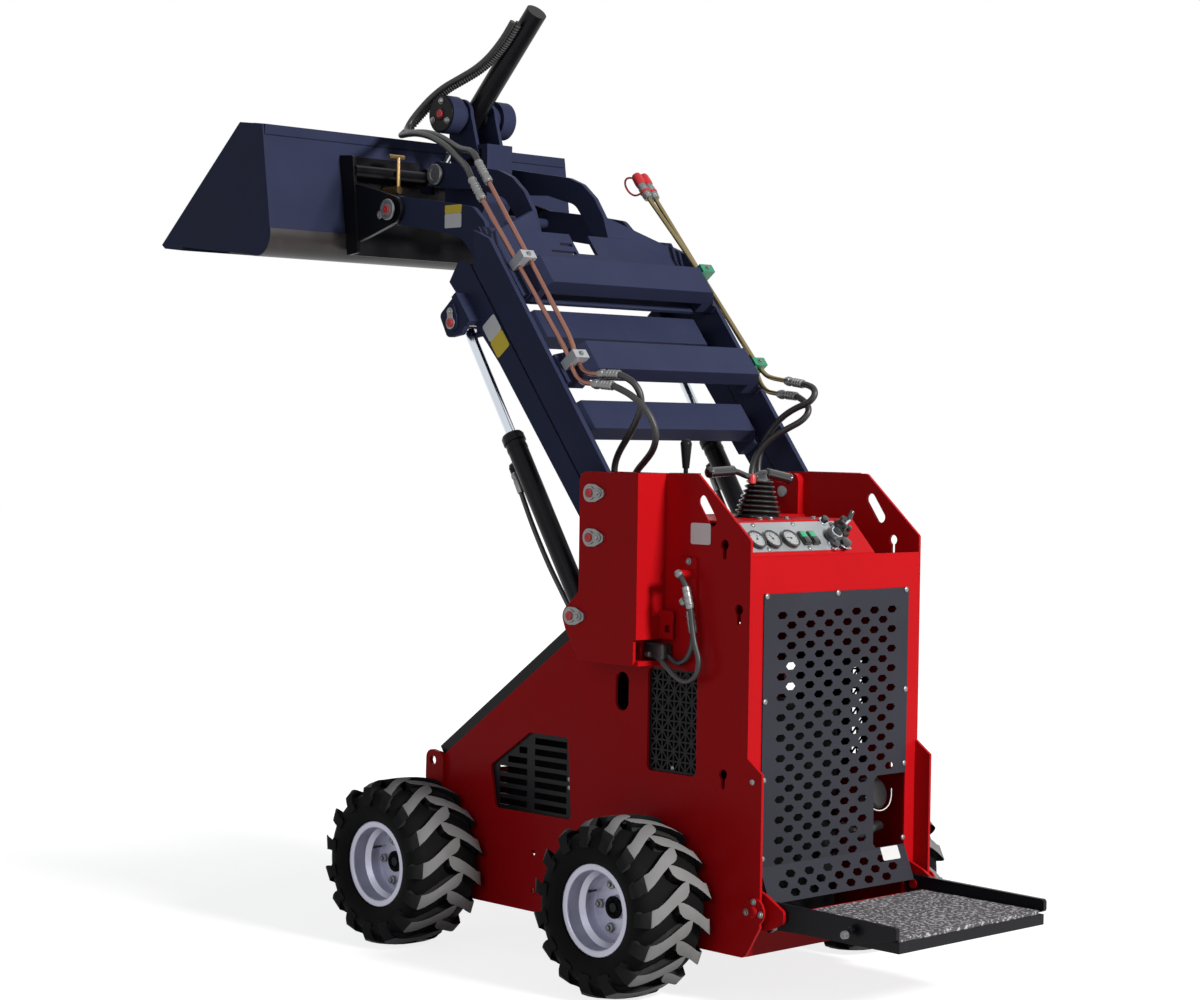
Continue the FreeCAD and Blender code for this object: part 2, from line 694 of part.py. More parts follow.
# ---------------------------------------------------------------- loader arm and levelling link
def rung(pivot, length, rise):
    """Cross tube with bevelled ends, its lower edge at a distance up the arm."""
    corners = [(rung_half, 0), (rung_half_top, rung_height), (-rung_half_top, rung_height), (-rung_half, 0)]
    points = [V(length, y, rise + z) for y, z in corners]
    face = Part.Face(Part.makePolygon(points + [points[0]]))
    return arm_frame(face.extrude(V(rung_width, 0, 0)), pivot)


def foot(pivot, length, profile):
    """Bracket that a rung stands on; the profile lists (Y, rise)."""
    points = [V(length, y, rise) for y, rise in profile]
    face = Part.Face(Part.makePolygon(points + [points[0]]))
    return arm_frame(face.extrude(V(rung_width, 0, 0)), pivot)


def arm_block(pivot, lengths, rises, ys):
    """Block lined up with the arm: ranges along it, behind it and across."""
    corners = [(lengths[0], rises[0]), (lengths[1], rises[0]), (lengths[1], rises[1]), (lengths[0], rises[1])]
    return slab([along_arm(pivot, a, r) for a, r in corners], ys[0], ys[1])


def clevis_pin():
    """End of the lift rod's pin with its retainer; the middle of the pin is one with the rod's eye."""
    pin = disc(lift_eye, pin_radius, lift_y + 34, lift_y + 52)
    return fused(pin, teardrop(lift_eye, lift_y + 49, lift_y + 55, (0, 1)))


def arm_side():
    """Outer plate, feet for the rungs, clevis for the lift cylinder and the gooseneck."""
    pivot = (pivot_x, arm_pivot_z)
    y_high = arm_outer_y
    y_low = arm_outer_y - arm_wall
    outline = [(-8, -arm_front_half + 8), (600, -arm_front_half), (905, -72), (926, -8), (890, arm_rear_half),
               (-8, arm_rear_half)]
    straight = slab([along_arm(pivot, a, r) for a, r in outline], y_low, y_high)
    eye = disc(pivot, arm_front_half, y_low, y_high)
    boss = disc(pivot, boss_radius, body_half_width + side_gap, tower_outer_y - tower_wall - side_gap)
    pieces = [straight, eye, boss]
    top = arm_rung_rise
    for low in arm_rungs:
        pieces.append(foot(pivot, low, [(y_low + 1, -30), (y_low + 1, top - 12), (344, top - 2), (338, top),
                                        (333, top), (333, -30)]))
    neck_low = gooseneck_y - arm_wall
    neck = slab([(232, 1800, 20), (300, 1800, 20), (368, 1898, 30), (410, 1936, 60), (500, 1955, 60),
                 (bucket_pin[0], 1985), (bucket_pin[0] + 30, 2025, 25), (bucket_pin[0], 2065), (540, 2045, 60),
                 (425, 2028, 60), (360, 2017, 40), (312, 1975, 20)], neck_low, gooseneck_y)
    neck = fused(neck, disc(bucket_pin, 42, neck_low, gooseneck_y))
    knee = arm_block(pivot, (840, 905), (-60, -10), (neck_low, y_high - 1))
    clevis_outline = [along_arm(pivot, 745, -38), (252, 1660, 12), (306, 1652, 18), (340, 1714, 14),
                      (288, 1758, 10), along_arm(pivot, 828, -38)]
    plates = [slab(clevis_outline, lift_y - 43, lift_y - 33), slab(clevis_outline, lift_y + 33, lift_y + 49)]
    web = arm_block(pivot, (738, 836), (-56, -36), (lift_y - 43, lift_y + 49))
    pieces += plates + [web, neck, knee, clevis_pin()]
    body = fused(*pieces)
    body = body.cut(disc(pivot, pin_radius + running, body_half_width - 1, tower_outer_y + 1))
    return body.cut(disc(bucket_pin, pin_radius + running, neck_low - 1, gooseneck_y + 1))


def link_side():
    """Outer plate of the levelling link with feet for its rungs."""
    pivot = (pivot_x, level_pivot_z)
    y_high = arm_outer_y
    y_low = arm_outer_y - arm_wall
    outline = [(-6, -link_front_half + 10), (60, -link_front_half), (786, -link_front_half), (800, -20), (865, 17),
               (804, link_rear_half), (-6, link_rear_half - 10)]
    straight = slab([along_arm(pivot, a, r) for a, r in outline], y_low, y_high)
    eye = disc(pivot, link_front_half, y_low, y_high)
    boss = disc(pivot, boss_radius, body_half_width + side_gap, tower_outer_y - tower_wall - side_gap)
    pieces = [straight, eye, boss]
    for low in link_rungs:
        top = link_rung_rise
        pieces.append(foot(pivot, low, [(y_low + 1, top - 36), (y_low + 1, top - 12), (344, top - 2), (338, top),
                                        (300, top), (300, top - 36)]))
    body = fused(*pieces)
    return body.cut(disc(pivot, pin_radius + running, body_half_width - 1, tower_outer_y + 1))


def link_head():
    """Splayed plates at the knee, the web behind the upper rung and the plates that carry the head."""
    pivot = (pivot_x, level_pivot_z)
    front = (bucket_pin[0], bucket_pin[1] + pivot_spacing)
    y_low = hump_y - arm_wall
    plate = slab([(258, 1945, 10), (300, 1935, 30), (400, 2055, 60), (520, 2088, 60), (front[0], 2100),
                  (front[0] + 34, front[1], 30), (front[0], front[1] + 38), (430, 2134, 60), (373, 2112, 40),
                  (321, 2069, 30), (284, 2016)], y_low, hump_y)
    plate = fused(plate, disc(front, 38, y_low, hump_y))
    plate = plate.cut(disc(front, pin_radius + running, y_low - 1, hump_y + 1))
    outer = arm_outer_y - arm_wall
    start = (hump_y + y_low) / 2
    inner_end = wire([(284, 2016), (298, 2016), (272, 1942), (258, 1942)], start)
    outer_end = wire([(212, 1925), (226, 1925), (209, 1878), (195, 1878)], outer)
    wing = Part.makeLoft([inner_end, outer_end], True, True)
    side = plate.fuse(wing)
    web = arm_block(pivot, (612, 872), (16, 26), (-outer, outer))
    for low, y_range in ((797, (46, 138)), (826, (46, 92))):
        web = web.cut(arm_block(pivot, (low, low + 11), (10, 30), y_range))
    # the tilt barrel's tail comes into this notch with the arms down
    web = web.cut(arm_block(pivot, (801, 880), (10, 30), (-36, 36)))
    return fused(web, side, mirrored(side))


# rigid lines on the levelling link: distance up the link, Y and rise of each straight stretch's ends
left_lines = [((945, 354, 69), (399, 354, 84)), ((985, 330, 97), (700, 331, 100), (420, 338, 103))]
right_lines = [((1010, -330, 62), (720, -343, 82), (376, -343, 98)), ((1010, -358, 62), (384, -358, 84))]
left_bends = [[(-110, 354, 1572), (-129, 354, 1545), (-156, 354, 1531), (-195, 352, 1528)],
              [(-118, 338, 1584), (-136, 338, 1563), (-160, 338, 1555), (-200, 337, 1554)]]
right_bends = [[(-135, -343, 1584), (-158, -343, 1566), (-186, -343, 1559), (-235, -342, 1552)],
               [(-108, -358, 1570), (-126, -357, 1540), (-150, -355, 1523), (-200, -352, 1516)]]
left_ends = [(-260, 347, 1523), (-265, 330, 1552)]
right_ends = [(-300, -336, 1543), (-266, -348, 1510)]
arm_hose_routes = {
    "arm_hose_left_rear": [(-260, 347, 1523), (-299, 338, 1508), (-330, 325, 1484), (-354, 315, 1456),
                           (-368, 305, 1424), (-368, 297, 1392), (-350, 290, 1360), (-316, 284, 1332),
                           (-278, 276, 1307), (-250, 266, 1278), (-243, 254, 1244), (-252, 246, 1214),
                           (-266, 240, 1180)],
    "arm_hose_left_front": [(-265, 330, 1552), (-297, 322, 1540), (-316, 312, 1516), (-321, 305, 1488),
                            (-309, 300, 1455), (-284, 295, 1420), (-250, 290, 1384), (-216, 284, 1350),
                            (-196, 279, 1314), (-198, 276, 1278), (-216, 272, 1246), (-242, 268, 1218),
                            (-262, 266, 1180)],
    "arm_hose_right_rear": [(-300, -336, 1543), (-338, -330, 1538), (-358, -322, 1516), (-342, -314, 1492),
                            (-300, -307, 1478), (-254, -302, 1453), (-214, -297, 1414), (-190, -291, 1370),
                            (-184, -285, 1328), (-190, -280, 1286), (-208, -276, 1248), (-236, -271, 1216),
                            (-262, -266, 1180)],
    "arm_hose_right_front": [(-266, -348, 1510), (-304, -342, 1496), (-326, -334, 1471), (-314, -321, 1444),
                             (-274, -303, 1421), (-232, -284, 1396), (-198, -268, 1356), (-184, -258, 1312),
                             (-192, -252, 1270), (-214, -246, 1236), (-242, -242, 1212), (-264, -240, 1180)],
}
tilt_hose_middle = [(462, 55, 2561), (492, 55, 2528), (529, 57, 2494), (569, 61, 2463), (613, 69, 2437),
                    (664, 84, 2414), (714, 99, 2392), (758, 112, 2362), (796, 124, 2326), (820, 142, 2290),
                    (812, 172, 2264), (768, 204, 2254), (706, 230, 2250), (640, 250, 2244), (576, 266, 2232),
                    (516, 281, 2214), (458, 294, 2190)]
hose_pair_half = 10.7           # middle of a pair of hoses to the middle of each


def on_link(length, y, rise):
    """Point beside the levelling link: distance up it, Y and rise."""
    x, z = along_arm((pivot_x, level_pivot_z), length, rise)
    return (x, y, z)


def pipe_pair(lines, bends, label):
    pipes = []
    for line, bend in zip(lines, bends):
        pipes.append(tube([on_link(*p) for p in line] + bend, pipe_diameter, label))
    return pipes


def line_fittings():
    """Crimped sleeves between pipes and hoses, and the two couplers at the upper right ends."""
    pieces = []
    for bends, ends in ((left_bends, left_ends), (right_bends, right_ends)):
        for bend, end in zip(bends, ends):
            pieces.append(bar(bend[-1], end, crimp_radius))
    for line in left_lines:
        length, y, rise = line[0]
        pieces.append(bar(on_link(length, y, rise), on_link(length + 60, y, rise), crimp_radius))
    for line in right_lines:
        length, y, rise = line[0]
        nose = bar(on_link(length + 50, y, rise), on_link(length + 86, y, rise), 9)
        pieces.append(fused(bar(on_link(length, y, rise), on_link(length + 54, y, rise), 13), nose))
    return Part.Compound(pieces)


def pipe_clamps(pipes, carriers):
    """Two clamps on each pair of pipes, resting on the rungs' ends."""
    pieces = []
    for low, side in ((690, 1), (352, 1), (690, -1), (352, -1)):
        ys = sorted((side * 318, side * 366))
        block = arm_block((pivot_x, level_pivot_z), (low, low + 26), (58, 114), ys)
        pieces.append(block.cut(Part.Compound(pipes + carriers)))
    return Part.Compound([max(piece.Solids, key=lambda solid: solid.Volume) for piece in pieces])


def tilt_hoses():
    """Two hoses side by side from the tilt cylinder's tail to the left pipes."""
    pieces = []
    route = [V(*p) for p in tilt_hose_middle]
    runs = [after - before for before, after in zip([route[0]] + route, route[1:] + [route[-1]])]
    spreads = [run.cross(V(0.6, 0, 0.8)).normalize() * hose_pair_half for run in runs]
    for sign, line, entry in ((1, left_lines[0], (398, 318, 2152)), (-1, left_lines[1], (404, 300, 2176))):
        points = [tuple(middle + spread * sign) for middle, spread in zip(route, spreads)]
        length, y, rise = line[0]
        end = on_link(length + 60, y, rise)
        lead = on_link(length + 100, y - 8, rise)
        pieces.append(tube(points + [entry, lead, end], arm_hose_diameter, "tilt_hose"))
    return pieces


def make_lines():
    left = pipe_pair(left_lines, left_bends, "left_pipe")
    right = pipe_pair(right_lines, right_bends, "right_pipe")
    pivot = (pivot_x, level_pivot_z)
    carriers = [rung(pivot, low, link_rung_rise) for low in link_rungs] + [link_side(), mirrored(link_side())]
    fittings = line_fittings()
    keep("pipes_left", Part.Compound([pipe.cut(fittings) for pipe in left]))
    keep("pipes_right", Part.Compound([pipe.cut(fittings) for pipe in right]))
    keep("line_fittings", fittings)
    keep("pipe_clamps", pipe_clamps(left + right, carriers))
    hoses = [tube(route, arm_hose_diameter, name) for name, route in arm_hose_routes.items()]
    cover = deck()
    above = [max(hose.cut(cover).cut(fittings).Solids, key=lambda solid: solid.Volume) for hose in hoses]
    keep("arm_hoses", Part.Compound(above))
    keep("tilt_hoses", Part.Compound([hose.cut(fittings) for hose in tilt_hoses()]))


def make_arms():
    keep_pair("arm_side", arm_side())
    arm_pivot = (pivot_x, arm_pivot_z)
    keep("arm_rungs", Part.Compound([rung(arm_pivot, low, arm_rung_rise) for low in arm_rungs]))
    keep_pair("link_side", link_side())
    link_pivot = (pivot_x, level_pivot_z)
    keep("link_rungs", Part.Compound([rung(link_pivot, low, link_rung_rise) for low in link_rungs]))
    keep("link_head", link_head())
    make_lines()


# ---------------------------------------------------------------- head
def head():
    """Pedestal on the two front pins that carries the tilt cylinder's trunnion."""
    front = (bucket_pin[0], bucket_pin[1] + pivot_spacing)
    half = 48.0
    post = slab([(585, 2228), (690, 2228), (735, 2185), (770, 2130), (770, 1988, 20), (630, 1988, 20), (585, 2060, 20)],
                -half, half)
    post = post.cut(box(610, 700, -half - 1, half + 1, 2130, 2215))
    cheek = slab([(620, 2200), (740, 2170), (trunnion[0] + 50, trunnion[1]), (trunnion[0] - 50, trunnion[1])],
                 half - 8, half + 4)
    cheek = fused(cheek, disc(trunnion, 50, half - 8, half + 4), disc(trunnion, 40, half + 2, 74))
    hub = disc(trunnion, trunnion_disc_radius, trunnion_disc_y - trunnion_disc_width, trunnion_disc_y)
    cheek = fused(cheek, hub).cut(disc(trunnion, 22 + running, 0, trunnion_disc_y - 8))
    shaft_low = disc(bucket_pin, pin_radius, -gooseneck_y - 30, gooseneck_y + 30)
    shaft_high = disc(front, pin_radius, -hump_y - 8, hump_y + 8)
    return fused(post, cheek, mirrored(cheek), shaft_low, shaft_high)


def make_head():
    keep("tilt_pedestal", head())


# ---------------------------------------------------------------- bucket
def back_x(z):
    """X of the bucket's back plate at a height."""
    share = (z - bucket_heel[1]) / (bucket_back_top[1] - bucket_heel[1])
    return bucket_heel[0] + share * (bucket_back_top[0] - bucket_heel[0])


def bucket_shell():
    wide = bucket_half_width - bucket_sheet
    t = bucket_sheet
    outer = [bucket_back_top, bucket_heel + (heel_radius,), bucket_tip]
    inner = [(bucket_tip[0] - 3, bucket_tip[1] + t), (bucket_heel[0] + t + 1, bucket_heel[1] + t + 1, heel_radius - t),
             (bucket_back_top[0] + t, bucket_back_top[1])]
    shell = slab(outer + inner, -wide, wide)
    rim_bar = slab([(bucket_back_top[0] - 6, bucket_back_top[1] - 30), (bucket_back_top[0] - 6, bucket_back_top[1]),
                    (bucket_back_top[0] + 50, bucket_back_top[1] + 7), (bucket_back_top[0] + 50, bucket_back_top[1] + 1),
                    (bucket_back_top[0] + 6, bucket_back_top[1] - 4)], -wide, wide)
    outline = [bucket_back_top, bucket_side_top + (10,), bucket_tip, bucket_heel + (heel_radius,)]
    side = slab(outline, wide, bucket_half_width)
    return fused(shell, rim_bar, side, mirrored(side))


def cutting_edge():
    x, z = bucket_tip
    slope = (bucket_tip[1] - bucket_heel[1]) / (bucket_tip[0] - bucket_heel[0])
    outline = [(x, z), (x - 110, z - 110 * slope), (x - 110, z - 110 * slope - 10), (x - 16, z - 16 * slope - 10)]
    return slab(outline, -bucket_half_width, bucket_half_width)


def attach_plate():
    """Carrier plate behind the bucket; its top edge is notched for the tilt rod's eye."""
    low, high = 1905.0, 2195.0
    wide = 315.0
    plate = slab([(back_x(low), low), (back_x(high), high), (back_x(high) - 10, high), (back_x(low) - 10, low)],
                 -wide, wide)
    plate = plate.cut(box(back_x(low) - 60, back_x(high) + 60, -27, 27, tilt_eye[1] - 42, high + 1))
    rib = slab([(back_x(low) - 5, low), (back_x(high) - 5, high), (back_x(high) - 62, high - 4, 10),
                (back_x(low) - 50, low + 4, 10)], wide - 10, wide)
    ear_low = gooseneck_y + side_gap
    ear = slab([(back_x(1930) - 8, 1930), (back_x(2120) - 8, 2120), (760, 2085, 40), (bucket_pin[0], 2066),
                (bucket_pin[0] - 38, bucket_pin[1], 36), (bucket_pin[0], 1984), (790, 1955, 40)], ear_low, ear_low + 14)
    ear = fused(ear, disc(bucket_pin, 40, ear_low, ear_low + 14))
    ear = ear.cut(disc(bucket_pin, pin_radius + running, ear_low - 1, ear_low + 15))
    tube = bar((tilt_eye[0], 46, tilt_eye[1]), (tilt_eye[0], wide - 5, tilt_eye[1]), 17)
    collar = bar((tilt_eye[0], 26, tilt_eye[1]), (tilt_eye[0], 46, tilt_eye[1]), 26)
    saddle = box(tilt_eye[0], back_x(tilt_eye[1]) - 5, 28, 44, tilt_eye[1] - 20, tilt_eye[1] + 20)
    side = fused(rib, ear, tube, collar, saddle)
    return fused(plate, side, mirrored(side))


def lock_levers():
    """Handles that lock the bucket on its carrier."""
    x, y, low, high = 840.0, 168.0, 2100.0, 2196.0
    handle = bar((x, y, low), (x, y, high), 6)
    stub = bar((back_x(low - 11) - 10, y, low), (x - 8, y, low), 11)
    left = fused(handle, stub, bar((x, y - 20, high), (x, y + 36, high), 6))
    return Part.Compound([left, mirrored(left)])


def make_bucket():
    keep("bucket_shell", bucket_shell())
    keep("cutting_edge", cutting_edge())
    keep("attach_plate", attach_plate())
    keep("lock_levers", lock_levers())


# ---------------------------------------------------------------- cylinders
def cylinder_pair(base, tip, y, back, nose, barrel_radius, rod_radius, eye_radius, eye_half, rod_inside):
    """Barrel and rod on the line from a pivot to the rod's eye; lengths run along that line."""
    start = V(base[0], y, base[1])
    line = V(tip[0], y, tip[1]) - start
    span = line.Length
    line.normalize()
    rear = start - line * back
    shell = Part.makeCylinder(barrel_radius, back + nose, rear, line)
    hollow = Part.makeCylinder(barrel_radius - barrel_wall, back + nose - 45, rear + line * 15, line)
    guide = Part.makeCylinder(rod_radius + running, 60, rear + line * (back + nose - 50), line)
    barrel = shell.cut(hollow).cut(guide)
    rod = Part.makeCylinder(rod_radius, span + rod_inside, start - line * rod_inside, line)
    eye = disc(tip, eye_radius, y - eye_half, y + eye_half)
    return barrel, fused(rod, eye)


def make_cylinders():
    span = math.hypot(lift_eye[0] - lift_base[0], lift_eye[1] - lift_base[1])
    barrel, rod = cylinder_pair(lift_base, lift_eye, lift_y, -20, lift_barrel_end, lift_barrel_radius,
                                lift_rod_radius, 28, 31, -420)
    eye_ring = disc(lift_base, 30, lift_y - 28, lift_y + 28)
    share = 30 / span
    neck = bar((lift_base[0], lift_y, lift_base[1]),
               (lift_base[0] + share * (lift_eye[0] - lift_base[0]), lift_y,
                lift_base[1] + share * (lift_eye[1] - lift_base[1])), 24)
    port = fused(bar((72, lift_y, 1320), (92, lift_y, 1307), 10), bar((92, lift_y, 1307), (80, lift_y, 1286), 9))
    barrel = fused(barrel, eye_ring, neck, port)
    barrel = barrel.cut(disc(lift_base, pin_radius + running, lift_y - 60, lift_y + 60))
    keep_pair("lift_barrel", barrel)
    keep_pair("lift_rod", rod)
    barrel, rod = cylinder_pair(trunnion, tilt_eye, 0.0, tilt_barrel_back, tilt_barrel_nose, tilt_barrel_radius,
                                tilt_rod_radius, 24, 22, 235)
    stub = disc(trunnion, 22, tilt_barrel_radius - 2, trunnion_disc_y - 10)
    keep("tilt_barrel", fused(barrel, stub, mirrored(stub)))
    keep("tilt_rod", rod)


# ---------------------------------------------------------------- platform
def platform_arm():
    """Side arm of the platform with its round eye."""
    x, z = platform_hinge
    arm = slab([(x + 24, z + 24, 22), (platform_rear_x, 262, 8), (platform_rear_x, 232, 8), (-1090, 212),
                (-790, 200), (-775, 188, 8), (x + 24, z - 29, 20)], 279, 291)
    latch = fused(bar((-1040, 288, 238), (-1040, 310, 238), 8), bar((-1040, 304, 238), (-1040, 312, 238), 13))
    arm = fused(arm, latch)
    return arm.cut(disc(platform_hinge, platform_pin_radius + running, 270, 300))


def platform_bracket():
    """Ear beside the platform's arm, the hinge pin and its flange on the side plate."""
    x, z = platform_hinge
    ear = slab([(rear_x, 300), (-775, 282, 10), (-832, 250, 8), (-832, 222, 8), (-790, 200, 20), (rear_x, 190)],
               293, 303)
    pin = disc(platform_hinge, platform_pin_radius, 276, 334)
    flange = disc(platform_hinge, 34, body_half_width, 332)
    return fused(ear, pin, flange)


def make_platform():
    deck_front = -790.0
    plate = box(platform_rear_x, deck_front, -280, 280, platform_z - 26, platform_z)
    blocks = [box(x - 34, x + 34, y - 16, y + 16, 185, platform_z - 24) for x, y in ((-1054, -50), (-1060, -253))]
    arm = platform_arm()
    keep("platform_frame", fused(plate, arm, mirrored(arm), *blocks))
    keep("platform_mat", box(platform_rear_x + 8, deck_front - 8, -270, 270, platform_z, platform_z + 9))
    left = platform_bracket()
    keep("platform_hinges", Part.Compound([left, mirrored(left)]))


def main():
    make_wheels()
    make_chassis()
    make_arms()
    make_head()
    make_bucket()
    make_cylinders()
    make_platform()
    os.makedirs("parts", exist_ok=True)
    for name, shape in parts.items():
        shape.exportStep(os.path.join("parts", name + ".step"))
        print(name, shape.isValid(), len(shape.Solids), round(shape.Volume / 1e6, 2))


main()
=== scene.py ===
"""Looks of a stand-on mini wheel loader: finishes, tread, screws, hoses and small fittings.

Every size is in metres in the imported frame: X forward, Y to the machine's left, Z up.
"""
import json
import math

import bpy
from mathutils import Matrix, Vector


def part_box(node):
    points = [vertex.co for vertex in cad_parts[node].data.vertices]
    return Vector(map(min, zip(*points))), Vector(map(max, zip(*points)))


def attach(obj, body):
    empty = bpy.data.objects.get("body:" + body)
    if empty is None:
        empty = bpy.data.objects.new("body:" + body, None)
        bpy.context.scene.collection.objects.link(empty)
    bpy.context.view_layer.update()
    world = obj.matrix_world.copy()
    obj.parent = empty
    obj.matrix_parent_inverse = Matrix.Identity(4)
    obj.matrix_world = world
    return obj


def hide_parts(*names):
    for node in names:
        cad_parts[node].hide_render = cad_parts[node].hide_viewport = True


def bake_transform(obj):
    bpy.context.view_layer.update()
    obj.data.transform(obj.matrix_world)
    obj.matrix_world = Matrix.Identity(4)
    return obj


bl_info = {
    "name": "Mini Wheel Loader Finish",
    "version": (1, 0, 0),
    "blender": (4, 5, 0),
    "location": "View3D > Sidebar > Loader",
    "description": "Adds tread, trim, hoses and finishes to the mini wheel loader's frame",
    "category": "Object",
}

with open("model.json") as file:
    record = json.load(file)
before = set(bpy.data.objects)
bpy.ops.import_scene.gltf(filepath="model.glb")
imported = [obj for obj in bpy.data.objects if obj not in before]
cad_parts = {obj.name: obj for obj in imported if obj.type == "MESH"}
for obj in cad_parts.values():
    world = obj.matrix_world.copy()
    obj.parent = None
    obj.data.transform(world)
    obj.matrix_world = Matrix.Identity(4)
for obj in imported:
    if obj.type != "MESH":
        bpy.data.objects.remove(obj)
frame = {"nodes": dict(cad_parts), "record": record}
NODES = frame["nodes"]
JOINTS = {joint["name"]: joint for joint in frame["record"]["behaviour"]["joints"]}
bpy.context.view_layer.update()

# ------------------------------------------------ places read from the frame
WHEELS = ("front_left", "front_right", "rear_left", "rear_right")
SIDES = ((1, "left"), (-1, "right"))
FRONT_AXLE = Vector(JOINTS["wheel_front_left"]["pos_m"])
REAR_AXLE = Vector(JOINTS["wheel_rear_left"]["pos_m"])
MIDDLE_X = (FRONT_AXLE.x + REAR_AXLE.x) / 2          # half way between the axles
LINK_PIVOT = Vector(JOINTS["level_link_turn"]["pos_m"])
ARM_PIVOT = Vector(JOINTS["arm_lift"]["pos_m"])
LIFT_BASE = Vector(JOINTS["lift_barrel_swing_left"]["pos_m"])
TRUNNION = Vector(JOINTS["tilt_barrel_swing"]["pos_m"])
HEAD_PIVOT = Vector(JOINTS["head_turn"]["pos_m"])
BUCKET_PIN = Vector(JOINTS["bucket_tilt"]["pos_m"])
PLATFORM_HINGE = Vector(JOINTS["platform_fold"]["pos_m"])
LIFT_AXIS = Vector(JOINTS["lift_rod_slide_left"]["axis"])
TILT_AXIS = Vector(JOINTS["tilt_rod_slide"]["axis"])
ARM_ANGLE = math.radians(52.0)
ARM_DIR = Vector((math.cos(ARM_ANGLE), 0.0, math.sin(ARM_ANGLE)))
ARM_BACK = Vector((-math.sin(ARM_ANGLE), 0.0, math.cos(ARM_ANGLE)))
SIDE_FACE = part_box("side_plate_left")[1].y            # outer face of the left side plate
DASH_FOOT = Vector((-0.722, 0.0, 1.108))
DASH_TOP = Vector((-0.645, 0.0, 1.190))
DASH_DIR = (DASH_TOP - DASH_FOOT).normalized()
DASH_OUT = Vector((-DASH_DIR.z, 0.0, DASH_DIR.x))
Y_AXIS, Z_AXIS = Vector((0, 1, 0)), Vector((0, 0, 1))
DASH_AXES = Matrix((Y_AXIS, DASH_DIR, DASH_OUT)).transposed().to_4x4()
DECAL_GAP = 0.0004                     # how far a label or screw stands off its face
PIVOT_FACE, EYE_FACE = 0.4325, 0.4315  # outer faces of the pin plates on the towers and on the lift arm
HINGE_FACE = 0.3322                    # outer face of the platform's hinge
GAUGE_ROW, SWITCH_ROW = 0.044, 0.046   # distances up the dash
STICK_X = -0.471                       # the joystick's cross bar, from the wheelbase's middle
TREAD_RADIUS = 0.225
WORN_RADIUS = 0.207                    # faces further out than this touch the ground and are worn
NUT_COUNT, NUT_CIRCLE = 5, 0.057
TILT_BARREL_RADIUS, LIFT_BARREL_RADIUS = 0.031, 0.0275
CRIMP_RADIUS = 0.0112
PAIR_OFFSET = 0.0107                   # from the middle of the tilt hoses to each of them
SPLIT = 10                             # number of a tilt hose's points before it crosses the head's pivot


def place(x, y, z):
    """Point given from the middle of the wheelbase."""
    return Vector((x + MIDDLE_X, y, z))


def on_link(length, y, rise):
    """Point beside the levelling link: distance up it, Y and height behind it."""
    return Vector((LINK_PIVOT.x, y, LINK_PIVOT.z)) + ARM_DIR * length + ARM_BACK * rise


def on_dash(along, y, out):
    """Point on the sloped dash: distance up it, Y and distance out from it."""
    return place(DASH_FOOT.x, y, DASH_FOOT.z) + DASH_DIR * along + DASH_OUT * out


# ------------------------------------------------ routes of the lines, from the wheelbase's middle
BODY_HOSE_UPPER = [
    (-0.523, 0.366, 1.055), (-0.544, 0.366, 1.036), (-0.556, 0.364, 1.004), (-0.561, 0.362, 0.966),
    (-0.566, 0.360, 0.922), (-0.576, 0.360, 0.880), (-0.592, 0.360, 0.846), (-0.584, 0.360, 0.806),
    (-0.551, 0.360, 0.786), (-0.512, 0.360, 0.796), (-0.478, 0.360, 0.822), (-0.440, 0.360, 0.848),
    (-0.400, 0.360, 0.848),
]
BODY_HOSE_LOWER = [
    (-0.523, 0.348, 0.985), (-0.541, 0.347, 0.974), (-0.551, 0.345, 0.948), (-0.554, 0.344, 0.910),
    (-0.549, 0.343, 0.872), (-0.530, 0.343, 0.840), (-0.498, 0.343, 0.828), (-0.466, 0.343, 0.846),
    (-0.434, 0.343, 0.868), (-0.400, 0.343, 0.868),
]
LIFT_HOSE = [
    (0.079, 0.376, 1.285), (0.060, 0.376, 1.252), (0.038, 0.377, 1.212), (0.008, 0.378, 1.160),
    (-0.026, 0.378, 1.106), (-0.062, 0.378, 1.052), (-0.096, 0.377, 1.006), (-0.122, 0.374, 0.968),
    (-0.140, 0.364, 0.930), (-0.149, 0.350, 0.896), (-0.150, 0.342, 0.862),
]
LEFT_REAR = [
    (-0.260, 0.347, 1.523), (-0.299, 0.338, 1.508), (-0.330, 0.325, 1.484), (-0.354, 0.315, 1.456),
    (-0.368, 0.305, 1.424), (-0.368, 0.297, 1.392), (-0.350, 0.290, 1.360), (-0.316, 0.284, 1.332),
    (-0.278, 0.276, 1.307), (-0.250, 0.266, 1.278), (-0.243, 0.254, 1.244), (-0.252, 0.246, 1.214),
    (-0.266, 0.240, 1.180),
]
LEFT_FRONT = [
    (-0.265, 0.330, 1.552), (-0.297, 0.322, 1.540), (-0.316, 0.312, 1.516), (-0.321, 0.305, 1.488),
    (-0.309, 0.300, 1.455), (-0.284, 0.295, 1.420), (-0.250, 0.290, 1.384), (-0.216, 0.284, 1.350),
    (-0.196, 0.279, 1.314), (-0.198, 0.276, 1.278), (-0.216, 0.272, 1.246), (-0.242, 0.268, 1.218),
    (-0.262, 0.266, 1.180),
]
RIGHT_REAR = [
    (-0.300, -0.336, 1.543), (-0.338, -0.330, 1.538), (-0.358, -0.322, 1.516), (-0.342, -0.314, 1.492),
    (-0.300, -0.307, 1.478), (-0.254, -0.302, 1.453), (-0.214, -0.297, 1.414), (-0.190, -0.291, 1.370),
    (-0.184, -0.285, 1.328), (-0.190, -0.280, 1.286), (-0.208, -0.276, 1.248), (-0.236, -0.271, 1.216),
    (-0.262, -0.266, 1.180),
]
